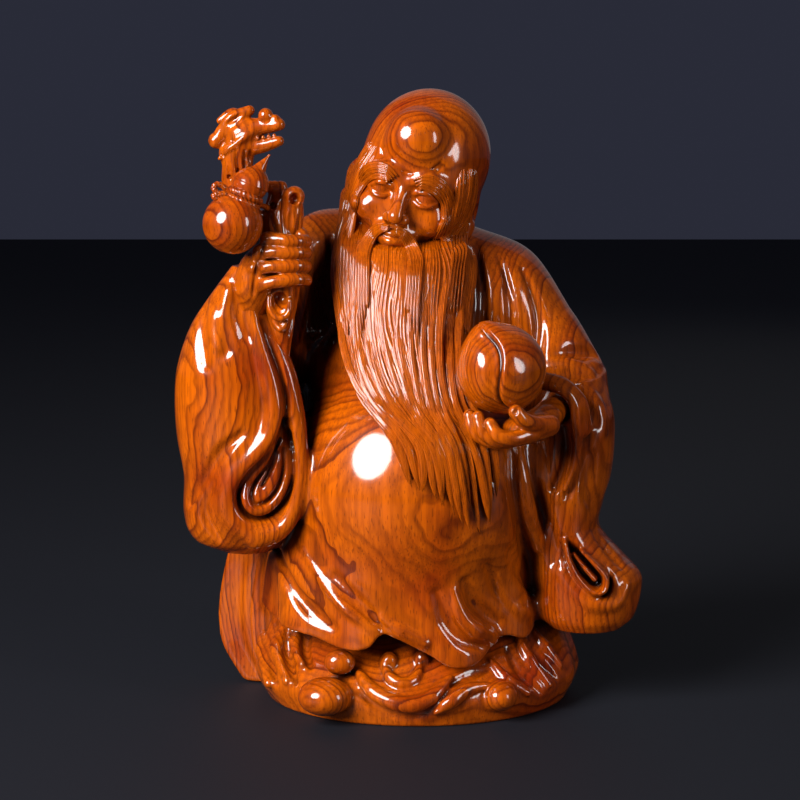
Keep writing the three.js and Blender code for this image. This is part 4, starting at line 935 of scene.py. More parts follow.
def join(parts):
    """Several meshes as one."""
    starts = np.cumsum([0] + [len(part[0]) for part in parts])
    verts = np.concatenate([part[0] for part in parts])
    quads = np.concatenate([part[1] + start for part, start in zip(parts, starts)])
    tris = np.concatenate([part[2] + start for part, start in zip(parts, starts)])
    return verts, quads, tris, np.concatenate([part[3] for part in parts])


def axes_about(axis):
    """An axis and two more across it, each turned from the one before as a screw goes."""
    axis = unit(axis)
    side = unit(np.cross((0, 1, 0), axis))
    return axis, side, np.cross(axis, side)


def gourd():
    """Two bulbs turned on a lathe, their radii and the waist's and stem's joined as powers.

    At a distance s along the axis the radius is (r1^5 + r2^5 + r3^5)^(1/5), and the stem leans
    to the right by the square of the distance past the upper bulb's middle.
    """
    upper, place, tip = 10.7, 26.3, 20.0
    along = -GOURD_RADIUS * np.cos(np.linspace(0.05, np.pi - 0.4, 60))
    along = np.concatenate([along, np.linspace(along[-1], place + tip, 70)[1:]])
    lower_bulb = np.sqrt(np.maximum(GOURD_RADIUS**2 - along**2, 0))
    upper_bulb = np.sqrt(np.maximum(upper**2 - (along - place) ** 2, 0))
    stem = 9 * np.clip(1 - np.maximum(along - place, 0) / tip, 0.08, 1)
    middle = np.clip(along / 8, 0, 1) * np.where(along > place, stem, 6.2)
    radius = np.maximum((lower_bulb**5 + upper_bulb**5 + middle**5) ** 0.2, 0.3)
    axis, side, other = axes_about(GOURD_AXIS)
    lean = 3.5 * np.clip((along - place) / tip, 0, 1) ** 2
    angle = np.linspace(0, 2 * np.pi, 96, endpoint=False)
    ring = np.cos(angle)[:, None] * side + np.sin(angle)[:, None] * other
    middle_line = GOURD_CENTRE + along[:, None] * axis + lean[:, None] * np.array((1, 0, 0))
    return closed_rings(middle_line[:, None] + radius[:, None, None] * ring)


def twisted_cord(points, radius, twists, rows):
    """A cord of two strands along a curve: its radius is r (0.76 + 0.24 |cos(a - turn)|)."""
    columns = 16
    path = smooth_line(points, rows)
    tangent = unit(np.gradient(path, axis=0))
    side = unit(np.cross(tangent, (0.1, 1, 0.05)))
    other = np.cross(tangent, side)
    angle = np.linspace(0, 2 * np.pi, columns, endpoint=False)[None, :]
    turn = 2 * np.pi * twists * np.linspace(0, 1, rows)[:, None]
    size = radius * (0.76 + 0.24 * np.abs(np.cos(angle - turn)))
    ring = np.cos(angle)[..., None] * side[:, None] + np.sin(angle)[..., None] * other[:, None]
    return closed_rings(path[:, None] + size[..., None] * ring)


def gourd_cords():
    axis, side, other = axes_about(GOURD_AXIS)
    centre = GOURD_CENTRE + 17 * axis
    angle = np.linspace(0, 2 * np.pi, 17)[:, None]
    cords = []
    for lift in (-2.2, 2.2):
        loop = centre + lift * axis + 9 * (np.cos(angle) * side + np.sin(angle) * other)
        cords.append(twisted_cord(loop, 2.5, 11, 140))
    left = centre - 9 * side - 3 * other
    for rise in (5, -4):
        bow = [left, left + (-7, -3, rise), left + (-10, -4, rise / 2), left + (-6, -3, -1), left]
        cords.append(twisted_cord(bow, 1.9, 5, 60))
    cords.append(twisted_cord([centre + 8 * side, (-86, -70, 322), (-80, -66, 312)], 1.8, 5, 60))
    return join(cords)


def peach():
    """A ball drawn out to a tip, with a winding seam that its right cheek overlaps.

    At an angle t from the axis and a turn a from the seam the radius is
    R (1 + 0.05 cos(t)^4 + 0.13 cos(t)^20), less two bell curves across the seam, and more by a
    bell curve on its right.
    """
    axis = unit(PEACH_AXIS)
    toward = np.array((-0.05, -1.0, 0.0))
    toward = unit(toward - (toward @ axis) * axis)
    other = np.cross(axis, toward)
    t = np.linspace(np.pi - 0.02, 0.02, 96)[:, None]
    a = np.linspace(-np.pi, np.pi, 180, endpoint=False)[None, :]
    tip = np.maximum(np.cos(t), 0)
    side = (a - 0.3 * np.cos(2.2 * (t - 0.6))) * np.sin(t) * PEACH_RADIUS
    seam = 2.3 * np.exp(-((side / 1.2) ** 2)) + 1.4 * np.exp(-(((side + 4) / 5) ** 2))
    cheek = 1.5 * np.exp(-((side - 3) / 9) ** 2) * (1 / (1 + np.exp(-side / 0.5)))
    fade = np.clip(np.sin(t) * 3, 0, 1) * np.clip((2.6 - t) * 2, 0, 1)
    radius = PEACH_RADIUS * (1 + 0.05 * tip**4 + 0.13 * tip**20) - fade * (seam - cheek)
    around = np.cos(a)[..., None] * toward + np.sin(a)[..., None] * other
    direction = np.cos(t)[..., None] * axis + np.sin(t)[..., None] * around
    # painted shade along the crease of the seam
    painted_shade_and_staining = fade * np.exp(-((side / 1.3) ** 2))
    return closed_rings(PEACH_CENTRE + radius[..., None] * direction, painted_shade_and_staining)


# How many fine furrows, darkened with painted shade, run in each carved strand of hair

FINE_STRANDS = 2


def lock(points, widths, depths, strands, rows, columns, phase=0.0):
    """A lock of hair: lens sections along a curve, fluted into strands.

    At angle a the point is the curve's plus width cos(a) side plus depth sin(a) out, and the
    flutes take 0.5 depth (1 - |sin(strands pi (cos(a) + 1) / 2)|^0.7) from its face.
    """
    path = smooth_line(points, rows)
    tangent = unit(np.gradient(path, axis=0))
    out = np.broadcast_to((0.0, -1.0, 0.0), (rows, 3))
    out = unit(out - (out * tangent).sum(1, keepdims=True) * tangent)
    side = np.cross(out, tangent)
    width = spread(widths, rows)[:, None]
    depth = spread(depths, rows)[:, None]
    angle = np.linspace(0, 2 * np.pi, columns, endpoint=False)[None, :]
    u = np.cos(angle)
    wave = 0.12 * np.sin(7 * np.linspace(0, 1, rows) + phase)[:, None]
    flute = np.abs(np.sin(0.5 * np.pi * strands * (u + 1 + wave) + phase)) ** 0.7
    rise = np.sin(angle) - 0.5 * (1 - flute) * np.clip(np.sin(angle) * 2, 0, 1)
    across = (width * u)[..., None] * side[:, None]
    # painted shade in the flutes between strands
    painted_shade_and_staining = 0.5 * (1 - flute) * np.clip(np.sin(angle) * 2, 0, 1)
    points = path[:, None] + across + (depth * rise)[..., None] * out[:, None]
    return closed_rings(points, painted_shade_and_staining, FINE_STRANDS * (0.5 * strands * (u + 1 + wave)))


def hair_sheet(surface, strands, clumps, thick, rows, columns, ragged):
    """A mass of hair on a sheet of two parameters, fluted into strands and cut into points.

    The face stands off the sheet by thick sin(a) plus 1.3 |sin(pi c)|^0.5 for the clumps c and
    1.2 |sin(pi s)|^0.6 for the strands s, both of which wave slowly from side to side.
    """
    angle = np.linspace(0, 2 * np.pi, columns, endpoint=False)[None, :]
    v = np.linspace(0, 1, rows)[:, None]
    u = 0.5 + 0.5 * np.cos(angle) + 0 * v
    front = np.clip(3 * np.sin(angle), 0, 1)
    clump = clumps * (u + 0.03 * np.sin(5 * v + 1))
    share = clump - np.floor(clump)
    place = v * (1 - ragged * np.abs(2 * share - 1) - 0.5 * ragged * np.sin(9 * u) ** 2)
    points = surface(u, place)
    step = 0.01
    du = surface(np.clip(u + step, 0, 1), place) - surface(np.clip(u - step, 0, 1), place)
    dv = surface(u, np.clip(place + step, 0, 1)) - surface(u, np.clip(place - step, 0, 1))
    out = unit(np.cross(dv, du))
    wave = 0.012 * np.sin(11 * v + 9 * u) + 0.008 * np.sin(23 * v - 17 * u)
    strand = strands * (u + wave) + 0.35 * np.sin(0.8 * strands * u + 4 * v)
    clump_relief = np.abs(np.sin(np.pi * clump)) ** 0.5
    strand_relief = np.abs(np.sin(np.pi * strand)) ** 0.6
    relief = 1.3 * clump_relief + 1.2 * strand_relief
    taper = np.clip((1 - v) * 6, 0.02, 1) ** 0.5 * np.clip(v * 8, 0.02, 1) ** 0.5
    lift = (thick * np.sin(angle) + front * (relief - 0.8)) * taper
    # painted shade in the furrows between strands and clumps
    painted_shade_and_staining = front * (0.24 * (1 - strand_relief) + 0.14 * (1 - clump_relief))
    return closed_rings(points + lift[..., None] * out, painted_shade_and_staining, FINE_STRANDS * strand)


# The beard

BEARD_ROWS = [
    [(-40, -28, 322), (-25, -46, 303), (-2, -50, 299), (20, -44, 302), (38, -24, 312)],
    [(-44, -42, 290), (-26, -62, 284), (-3, -69, 281), (19, -63, 283), (37, -44, 288)],
    [(-43, -60, 248), (-24, -77, 242), (-3, -84, 240), (16, -80, 242), (34, -66, 248)],
    [(-34, -82, 216), (-13, -96, 208), (6, -99, 204), (22, -97, 204), (35, -86, 212)],
    [(-12, -98, 186), (8, -103, 182), (22, -104, 178), (36, -100, 174), (52, -90, 182)],
    [(-3, -103, 156), (13, -105, 150), (29, -101, 136), (46, -94, 120), (56, -88, 150)],
]


def sheet(rows):
    """A sheet through rows of points: a smooth line along each, then one down each column."""
    wide = 100
    long = 200
    across = np.stack([smooth_line(row, wide + 1) for row in rows])
    grid = np.stack([smooth_line(across[:, n], long + 1) for n in range(wide + 1)], axis=1)

    def surface(u, v):
        i = np.clip(v * long, 0, long - 0.001)
        j = np.clip(u * wide, 0, wide - 0.001)
        i0 = i.astype(int)
        j0 = j.astype(int)
        s = (i - i0)[..., None]
        t = (j - j0)[..., None]
        top = grid[i0, j0] * (1 - t) + grid[i0, j0 + 1] * t
        bottom = grid[i0 + 1, j0] * (1 - t) + grid[i0 + 1, j0 + 1] * t
        return top * (1 - s) + bottom * s

    return surface


@functools.lru_cache(1)
def beard_sheet():
    return sheet(BEARD_ROWS)


def beard_surface(u, v):
    """The middle sheet of the beard, u across it and v down it."""
    return beard_sheet()(u, v)


def side_hair(side):
    """Hair that falls from the temple over the ear and then beside the beard."""
    rows = []
    levels = (
        (30, -25, -15, -4), (18, -28, -12, -1.4), (4, -30, -8, 0.9), (-10, -28, -6, 1.3),
        (-22, -27, -6, 1.4),
    )
    for z, front, back, lift in levels:
        places = [on_temple(side, y, z, lift) for y in np.linspace(front, back, 3)]
        rows.append(list(head_to_world(np.array(places))))
    if side < 0:
        rows += [
            [(-36, -54, 290), (-43, -45, 288), (-47, -34, 287)],
            [(-36, -68, 262), (-42, -60, 260), (-46, -46, 259)],
            [(-34, -82, 232), (-40, -74, 230), (-43, -62, 229)],
        ]
        rows = [row[::-1] for row in rows]
    else:
        rows += [
            [(32, -50, 290), (38, -43, 288), (42, -32, 287)],
            [(30, -68, 262), (36, -60, 260), (40, -48, 259)],
            [(30, -84, 232), (35, -78, 230), (38, -66, 229)],
        ]
    return hair_sheet(sheet(rows), 12, 3, 1.8, 150, 140, 0.12)


def beard_locks():
    """Loose locks over the sheet, each between two places of it."""
    random = np.random.default_rng(5)
    parts = []
    for n in range(26):
        start = 0.06 + 0.25 * random.random() + 0.3 * (n // 13)
        end = min(start + 0.45 + 0.3 * random.random(), 1.04)
        v = np.linspace(start, end, 7)
        u = (n % 13 + 0.5) / 13 + 0.05 * np.sin(5 * v + 6 * random.random()) * np.linspace(0.3, 1, 7)
        path = beard_surface(np.clip(u, 0.02, 0.98), np.clip(v, 0, 1))
        path[:, 1] -= 3 + 3.4 * np.sin(np.linspace(0.2, 3, 7))
        width = 2.4 + 1.4 * random.random()
        widths = [0.3, width, width, 0.8 * width, 0.1]
        phase = 3 * random.random()
        parts.append(lock(path, widths, [0.3, 1.8, 2.2, 1.8, 0.1], 4, 70, 30, phase))
    return join(parts)


def facial_lock(side, places, u, lower, lifts, broad):
    """A lock from places of the face to places of the beard, lifted off each by its own lift."""
    start = np.array([on_face(side * x, z, lifts[0]) for x, z in places])
    line = [*head_to_world(start), *over_beard(u, lower, lifts[1])]
    return lock(line, [0.6, 1.9, broad, 1.8, 0.3], [0.8, 2, 2.2, 1.8, 0.3], 3, 90, 28)


def over_beard(u, places, lift):
    """Points before the beard, at one place across it and several down it."""
    return [beard_surface(np.array(u), np.array(v)) - (0, lift, 0) for v in places]


def on_face(x, z, lift):
    return head().touch((x, -58, z), (x, 0, z), lift)


def on_temple(side, y, z, lift):
    return head().touch((50 * side, y, z), (0, y, z), lift)


def face_hair():
    """Long brows, the hair over the ears and a moustache, laid on the head and the beard."""
    parts = []
    for side in (-1, 1):
        for n in range(5):
            across = [5 + 1.4 * n, 12, 20, 27 - 0.4 * n, 31.5 - 0.8 * n, 32.5 - 1.2 * n, 31 - 1.5 * n]
            height = [10.5 - 1.5 * n, 14.5 - 1.9 * n, 14 - 2.2 * n, 9 - 2.4 * n, -3 - 1.6 * n, -15, -27]
            places = list(zip(across, height))
            u = 0.5 + side * (0.47 - 0.03 * n)
            parts.append(facial_lock(side, places, u, (0.12, 0.22, 0.34), (1.2, 7.5), 2))
        parts.append(side_hair(side))
    for side in (-1, 1):
        for n in range(4):
            places = [(2.5, -20.5 - n), (8 - 0.5 * n, -22 - n), (14 - n, -28 - n)]
            u = (0.22, 0.58)[side > 0] + side * (0.03 - 0.022 * n)
            lower = (0.1, 0.19, 0.29, 0.4 - 0.03 * n)
            parts.append(facial_lock(side, places, u, lower, (1.6, 8.6), 2.1))
    return join(parts)


def back_hair_surface(u, v):
    """Hair from ear to ear round the back: a ring about the head that narrows downwards."""
    turn = np.radians(108) * (2 * u - 1)
    z = 6 - 50 * v
    inset = 0.93 + 0.08 * (1 - (2 * u - 1) ** 6)
    half_width = (40 - 8 * v**2) * inset
    half_depth = (43 - 11 * v**2) * inset
    x = 2 + half_width * np.sin(turn)
    y = 3 + half_depth * np.cos(turn)
    return head_to_world(np.stack([-x, y, z + 6 * np.cos(turn)], axis=-1))


# Meshes


@functools.lru_cache(1)
def surroundings():
    """How much wood lies round each place: near 1 deep in it and near 0 away from it."""
    space = WoodBlock((-170, -140, -10), (175, 105, 415), DRAFT_CELL)
    for carving in (robe(), base(), staff(), gripping_hand(), open_hand()):
        for stroke in carving.strokes:
            space.blend(*stroke)
    skull, jaw = (
        egg(head_to_world(np.array(centre)), radii, HEAD_TURN) for centre, radii in (SKULL, JAW)
    )
    spine = [(-6, -50, 292), (-4, -66, 240), (8, -84, 202), (28, -88, 168), (38, -90, 146)]
    beard = limb(spine, [27, 31, 26, 17, 10], 0.4)
    for shape in (skull, jaw, beard, ball(PEACH_CENTRE, PEACH_RADIUS), ball(GOURD_CENTRE, GOURD_RADIUS)):
        space.blend(shape, 2, 1)
    full = np.clip(0.5 - space.field / (2 * space.cell), 0, 1)
    shifts = (-2, -1, 0, 1, 2)
    passes = 3
    for axis in range(3):
        for _ in range(passes):
            full = sum(np.roll(full, shift, axis) for shift in shifts) / len(shifts)
    space.field = full
    return space


def point_normals(verts, quads, tris):
    """The mean direction of the faces round each point, each by its area."""
    total = np.zeros_like(verts)
    a, b, c, d = (verts[quads[:, corner]] for corner in range(4))
    across = np.cross(c - a, d - b)
    for corner in range(4):
        np.add.at(total, quads[:, corner], across)
    a, b, c = (verts[tris[:, corner]] for corner in range(3))
    across = np.cross(b - a, c - a)
    for corner in range(3):
        np.add.at(total, tris[:, corner], across)
    return unit(total)


# How many thousands of triangles each of the larger pieces keeps. Flat places lose theirs first.

TRIANGLES_KEPT = {
    "robe_body": 135, "raised_sleeve": 130, "lowered_sleeve": 100, "base_mound": 80, "head": 88,
    "staff": 40, "gripping_hand": 32, "open_hand": 32, "beard": 105, "beard_locks": 48,
    "face_hair": 86, "back_hair": 34,
}

# A point is in a hollow by how much wood lies round a place this far before it, over this share

BEFORE_SKIN = 1.5
OPEN_SHARE = 0.42
NO_TRIANGLES = np.zeros((0, 3), int)


def make_piece(name, verts, quads, tris, marks):
    """A smooth mesh object that keeps how deep in a hollow each point lies, and its strand."""
    normals = point_normals(verts, quads, tris)
    wood_round = surroundings().sample(verts + BEFORE_SKIN * normals)
    # The recess darkens the colour: painted shade in the hollows, with dark staining
    recess = 2 * (wood_round - OPEN_SHARE) + marks[:, 0]
    mesh = bpy.data.meshes.new(name)
    mesh.from_pydata((verts * MM).tolist(), [], quads.tolist() + tris.tolist())
    mesh.shade_smooth()
    for layer_name, values in (("recess", np.clip(recess, 0, 1)), ("strand", marks[:, 1])):
        layer = mesh.attributes.new(layer_name, "FLOAT", "POINT")
        layer.data.foreach_set("value", values.astype(np.float32))
    mesh.validate()
    mesh.update()
    mesh.materials.append(the_rosewood())
    piece = bpy.data.objects.new(name, mesh)
    bpy.context.scene.collection.objects.link(piece)
    if name in TRIANGLES_KEPT:
        triangles = 2 * len(quads) + len(tris)
        kept = 1000 * TRIANGLES_KEPT[name]
        piece.modifiers.new("thinned", "DECIMATE").ratio = kept / triangles
    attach(piece, BODY)
    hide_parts(NODE)


# Pockets of painted shadow, a centre and radii each

ROBE_SHADOW_POCKETS = [((-58, -36, 264), (20, 48, 46)), ((43, -52, 268), (8, 26, 36))]
BASE_SHADOW_POCKETS = [((0, -86, 50), (96, 26, 11))]


def carved_piece(name, wood, place=None, share=0.6, shadow_pockets=()):
    """The skin of a block as a piece, with painted shade and dark staining where wood lies close before
    the skin.

    Each pocket gets painted shadow as well: e to the -d^2, where d is the distance from it in its radii.
    """
    verts, quads = wood.skin()
    reach = 1.6
    before = verts + reach * unit(wood.slope(verts, wood.cell))
    # painted shade and dark staining where wood lies close before the skin
    painted_shade_and_staining = share * (reach - wood.sample(before)) / reach
    # each pocket adds painted shadow
    for centre, radii in shadow_pockets:
        away = (verts - np.array(centre)) / np.array(radii)
        painted_shade_and_staining = painted_shade_and_staining + np.exp(-np.sum(away**2, axis=-1))
    if place is not None:
        verts = place(verts)
    make_piece(name, verts, quads, NO_TRIANGLES, np.stack([painted_shade_and_staining, 0 * painted_shade_and_staining], axis=1))


# Materials

RING_SPACING = 0.0031

# Noise that bends the rings: its scale, its detail and its share of the bend

RING_BENDS = [(9.0, 1.0, 4.0), (38.0, 2.0, 0.8)]

# Curves of greys: across a ring, along the fibres' noise, over the pores' noise and by recess, the last
# for painted shade and dark staining in the hollows

RING_SHADES = [(0.0, 0.7), (0.14, 0.1), (0.4, 0.1), (0.7, 0.5), (0.87, 1.0), (1.0, 0.85)]
TONE_SHADES = [(0.0, 0.0), (0.2, 0.0), (0.8, 1.0)]
STREAK_SHADES = [(0.0, 0.0), (0.38, 0.0), (0.62, 1.0)]
PORE_SHADES = [(0.0, 0.0), (0.66, 0.0), (0.72, 1.0)]
PAINTED_SHADE_AND_STAINING_CURVE = [(0.0, 0.0), (0.3, 0.1), (0.7, 0.7), (1.0, 0.96)]

# How much of each effect the wood shows, and how much less of it the hair

STREAK_SHARE = 0.3
LINE_SHARE = 0.9
PORE_SHARE = 0.4
# The share below darkens the fine furrows of the hair with painted shade
FURROW_SHADE_SHARE = 0.42
HAIR_TONE_LOSS = 0.75
HAIR_LINE_LOSS = 0.7
HAIR_COAT_LOSS = 0.35

# The lacquer, and the relief of grain and furrows below it, in metres

COAT_IOR = 1.5
WOOD_SPECULAR = 0.05
BUMP_HEIGHT = 0.0005
BUMP_STRENGTH = 0.6
GRAIN_SHARE = 0.12


def node(tree, kind, settings=None, **inputs):
    """Adds a shader node, sets its properties and inputs, and links the inputs that are sockets."""
    made = tree.nodes.new(kind)
    for key, value in (settings or {}).items():
        setattr(made, key, value)
    for key, value in inputs.items():
        put(tree, value, made.inputs[key])
    return made


def put(tree, value, socket):
    """Sets a socket, or links it to another."""
    if isinstance(value, bpy.types.NodeSocket):
        tree.links.new(value, socket)
    else:
        socket.default_value = value


def math_node(tree, operation, *values):
    made = node(tree, "ShaderNodeMath", {"operation": operation})
    for socket, value in zip(made.inputs, values):
        put(tree, value, socket)
    return made.outputs[0]


def colour_mix(tree, share, first, second):
    mixed = node(tree, "ShaderNodeMix", {"data_type": "RGBA"})
    for index, value in ((0, share), (6, first), (7, second)):
        put(tree, value, mixed.inputs[index])
    return mixed.outputs[2]


def ramp(tree, value, stops):
    """A curve of greys through pairs of place and shade."""
    made = tree.nodes.new("ShaderNodeValToRGB")
    tree.links.new(value, made.inputs[0])
    elements = made.color_ramp.elements
    while len(elements) < len(stops):
        elements.new(0.5)
    for element, (place, shade) in zip(elements, stops):
        element.position = place
        element.color = (shade, shade, shade, 1)
    return made.outputs[0]


def noise(tree, place, scale, detail):
    return node(tree, "ShaderNodeTexNoise", Vector=place, Scale=scale, Detail=detail).outputs[0]


def growth_rings():
    """Rings about an upright pith: distance from it over their spacing, bent by noise."""
    tree = bpy.data.node_groups.new("Growth rings", "ShaderNodeTree")
    maths = functools.partial(math_node, tree)
    defaults = {"Spacing": RING_SPACING, "Pith x": 0.0, "Pith y": 0.012, "Bend": 0.008}
    for label, default in defaults.items():
        socket = tree.interface.new_socket(label, in_out="INPUT", socket_type="NodeSocketFloat")
        socket.default_value = default
    for label in ("Line", "Tone", "Fibre", "Pores"):
        tree.interface.new_socket(label, in_out="OUTPUT", socket_type="NodeSocketFloat")
    entry = tree.nodes.new("NodeGroupInput").outputs
    leave = tree.nodes.new("NodeGroupOutput").inputs
    place = node(tree, "ShaderNodeTexCoord").outputs["Object"]
    split = node(tree, "ShaderNodeSeparateXYZ", Vector=place).outputs
    x = maths("SUBTRACT", split[0], entry["Pith x"])
    y = maths("SUBTRACT", split[1], entry["Pith y"])
    bent = maths("SQRT", maths("MULTIPLY_ADD", x, x, maths("MULTIPLY", y, y)))
    for scale, detail, share in RING_BENDS:
        bend = maths("MULTIPLY", noise(tree, place, scale, detail), share)
        bent = maths("ADD", bent, maths("MULTIPLY", bend, entry["Bend"]))
    turns = maths("DIVIDE", bent, entry["Spacing"])
    ring = maths("FLOOR", turns)
    per_ring = node(tree, "ShaderNodeTexWhiteNoise", {"noise_dimensions": "1D"}, W=ring).outputs[0]
    line = ramp(tree, maths("FRACT", turns), RING_SHADES)
    broad = maths("MULTIPLY_ADD", noise(tree, place, 17.0, 3.0), 1.7, -0.58)
    stretched = node(tree, "ShaderNodeMapping", Vector=place, Scale=(420.0, 420.0, 16.0)).outputs[0]
    dashes = node(tree, "ShaderNodeMapping", Vector=place, Scale=(1500.0, 1500.0, 130.0)).outputs[0]
    masks = {
        "Line": maths("MULTIPLY", line, maths("MULTIPLY_ADD", per_ring, 0.7, 0.25)),
        "Tone": maths("MULTIPLY_ADD", per_ring, 0.2, broad),
        "Fibre": noise(tree, stretched, 1.0, 3.0),
        "Pores": ramp(tree, noise(tree, dashes, 1.0, 0.0), PORE_SHADES),
    }
    for label, mask in masks.items():
        tree.links.new(mask, leave[label])
    return tree


def mark(tree, name):
    """A value that each point of the mesh carries."""
    return node(tree, "ShaderNodeAttribute", {"attribute_name": name}).outputs["Fac"]


def hair_furrow(tree, strand):
    """Near 1 in the fine furrows half way between strands, by each point's place across them."""
    part = math_node(tree, "FRACT", math_node(tree, "ADD", strand, 0.5))
    away = math_node(tree, "ABSOLUTE", math_node(tree, "MULTIPLY_ADD", part, 2.0, -1.0))
    return math_node(tree, "POWER", away, 3.0)


def rosewood(finish):
    """Amber to red-brown wood with dark ring lines, darkened in the hollows by painted shade and dark
    staining, under a clear coat.
    """
    material = bpy.data.materials.new("lacquered_rosewood")
    material.use_nodes = True
    tree = material.node_tree
    tree.nodes.clear()
    maths = functools.partial(math_node, tree)
    rings = node(tree, "ShaderNodeGroup", {"node_tree": growth_rings()}, Spacing=finish.ring_spacing)
    rings = rings.outputs
    light, deep, line, hollow = (
        (*colour, 1) for colour in (finish.light_wood, finish.deep_wood, finish.ring_line, finish.hollow)
    )
    strand = mark(tree, "strand")
    hair = maths("MINIMUM", strand, 1.0)
    tone = ramp(tree, rings["Tone"], TONE_SHADES)
    tone = maths("MULTIPLY", tone, maths("MULTIPLY_ADD", hair, -HAIR_TONE_LOSS, 1.0))
    streaks = maths("MULTIPLY", ramp(tree, rings["Fibre"], STREAK_SHADES), STREAK_SHARE)
    lines_kept = maths("MULTIPLY_ADD", hair, -HAIR_LINE_LOSS, LINE_SHARE)
    furrow = hair_furrow(tree, strand)
    layers = [
        (streaks, line),
        (maths("MULTIPLY", rings["Line"], lines_kept), line),
        (maths("MULTIPLY", rings["Pores"], PORE_SHARE), hollow),
        # painted shade and dark staining: the hollows' colour by how deep in a hollow each point lies
        (ramp(tree, mark(tree, "recess"), PAINTED_SHADE_AND_STAINING_CURVE), hollow),
        # painted shade in the fine furrows between strands of hair
        (maths("MULTIPLY", furrow, FURROW_SHADE_SHARE), hollow),
    ]
    colour = colour_mix(tree, tone, light, deep)
    for share, over in layers:
        colour = colour_mix(tree, share, colour, over)
    grain = maths("MULTIPLY_ADD", rings["Fibre"], 0.6, rings["Pores"])
    height = maths("SUBTRACT", maths("MULTIPLY", grain, GRAIN_SHARE), furrow)
    bump = node(
        tree, "ShaderNodeBump", Strength=BUMP_STRENGTH, Distance=BUMP_HEIGHT, Height=height
    ).outputs[0]
    rough = maths("MULTIPLY_ADD", rings["Fibre"], 0.2, 0.28)
    shader = node(tree, "ShaderNodeBsdfPrincipled", None, Normal=bump, Roughness=rough)
    looks = {
        "Base Color": colour,
        "Coat Weight": maths("MULTIPLY_ADD", hair, -HAIR_COAT_LOSS, 1.0),
        "Coat Roughness": finish.coat_roughness,
        "Coat IOR": COAT_IOR,
        "Specular IOR Level": WOOD_SPECULAR,
    }
    for label, value in looks.items():
        put(tree, value, shader.inputs[label])
    output = tree.nodes.new("ShaderNodeOutputMaterial")
    tree.links.new(shader.outputs[0], output.inputs[0])
    return material


def the_rosewood():
    made = bpy.data.materials.get("lacquered_rosewood")
    return made or rosewood(bpy.context.scene.rosewood_finish)


# Settings


class RosewoodFinish(bpy.types.PropertyGroup):
    """Colours and gloss of the wood."""

    light_wood: FloatVectorProperty(
        name="Light wood", description="Colour of the early wood", subtype="COLOR",
        size=3, min=0, max=1, default=(0.47, 0.083, 0.0004),
    )
    deep_wood: FloatVectorProperty(
        name="Deep wood", description="Colour of the darker bands", subtype="COLOR",
        size=3, min=0, max=1, default=(0.24, 0.018, 0.0003),
    )
    ring_line: FloatVectorProperty(
        name="Ring line", description="Colour of the late wood of each ring", subtype="COLOR",
        size=3, min=0, max=1, default=(0.055, 0.0038, 0.0004),
    )
    # The hollows' colour serves painted shade in hollows, creases and furrows, dark staining and the
    # pores
    hollow: FloatVectorProperty(
        name="Hollows", description="Colour of the stain that stays in the hollows", subtype="COLOR",
        size=3, min=0, max=1, default=(0.018, 0.002, 0.0005),
    )
    ring_spacing: FloatProperty(
        name="Ring spacing", description="Width of one growth ring", unit="LENGTH",
        default=RING_SPACING,
    )
    coat_roughness: FloatProperty(
        name="Coat roughness", description="Roughness of the lacquer", subtype="FACTOR",
        min=0, max=1, default=0.1,
    )


class CarvingSizes(bpy.types.PropertyGroup):
    """How finely the wood is carved."""

    cloth_cell: FloatProperty(
        name="Cloth detail", description="Cell of the robe's field", unit="LENGTH", default=0.0014,
    )
    fine_cell: FloatProperty(
        name="Fine detail", description="Cell of the head, hands and staff", unit="LENGTH",
        default=0.0008,
    )


class StudioSettings(bpy.types.PropertyGroup):
    """Lights and camera."""

    key_power: FloatProperty(
        name="Key light", description="Power of the key light", default=72, unit="POWER",
    )
    fill_power: FloatProperty(
        name="Fill light", description="Power of the fill light", default=9, unit="POWER",
    )
    distance: FloatProperty(
        name="Camera distance", description="From the camera to the figure", unit="LENGTH",
        default=1.5,
    )
    elevation: FloatProperty(
        name="Camera elevation", description="How far the camera looks down", subtype="ANGLE",
        default=math.radians(8),
    )


# Operators


class CARVING_OT_robe(bpy.types.Operator):
    """Carves the robe in three blocks that share one field"""

    bl_idname = "carving.robe"
    bl_label = "Carve robe"

    def execute(self, context):
        cloth = context.scene.carving_sizes.cloth_cell / MM
        blocks = {
            "robe_body": ((-66, -128, -3), (72, 98, 330), cloth),
            "raised_sleeve": ((-160, -100, -3), (-60, 98, 330), 0.8 * cloth),
            "lowered_sleeve": ((66, -100, -3), (160, 98, 330), 0.8 * cloth),
        }
        for name, (low, high, cell) in blocks.items():
            wood = robe().block(np.array(low) - 2 * cell, np.array(high) + 2 * cell, cell)
            wood.keep_within(np.maximum(low, (-BEYOND, -BEYOND, FLOOR_GAP)), high)
            carved_piece(name, wood, shadow_pockets=ROBE_SHADOW_POCKETS)
        return {"FINISHED"}


class CARVING_OT_base(bpy.types.Operator):
    """Carves the base"""

    bl_idname = "carving.base"
    bl_label = "Carve base"

    def execute(self, context):
        cell = 0.9 * context.scene.carving_sizes.cloth_cell / MM
        wood = base().block((-122, -118, -2 * cell), (130, 98, 76), cell)
        wood.keep_within((-BEYOND, -BEYOND, 0), (BEYOND, BEYOND, BEYOND), 0.6)
        carved_piece("base_mound", wood, share=0.95, shadow_pockets=BASE_SHADOW_POCKETS)
        return {"FINISHED"}


class CARVING_OT_head(bpy.types.Operator):
    """Carves the head in its own frame and turns it into place"""

    bl_idname = "carving.head"
    bl_label = "Carve head"

    def execute(self, context):
        cell = context.scene.carving_sizes.fine_cell / MM
        wood = head().block((-50, -52, -57), (52, 52, 68), cell)
        wood.keep_within((-BEYOND, -BEYOND, -54), (BEYOND, BEYOND, BEYOND))
        carved_piece("head", wood, head_to_world)
        return {"FINISHED"}


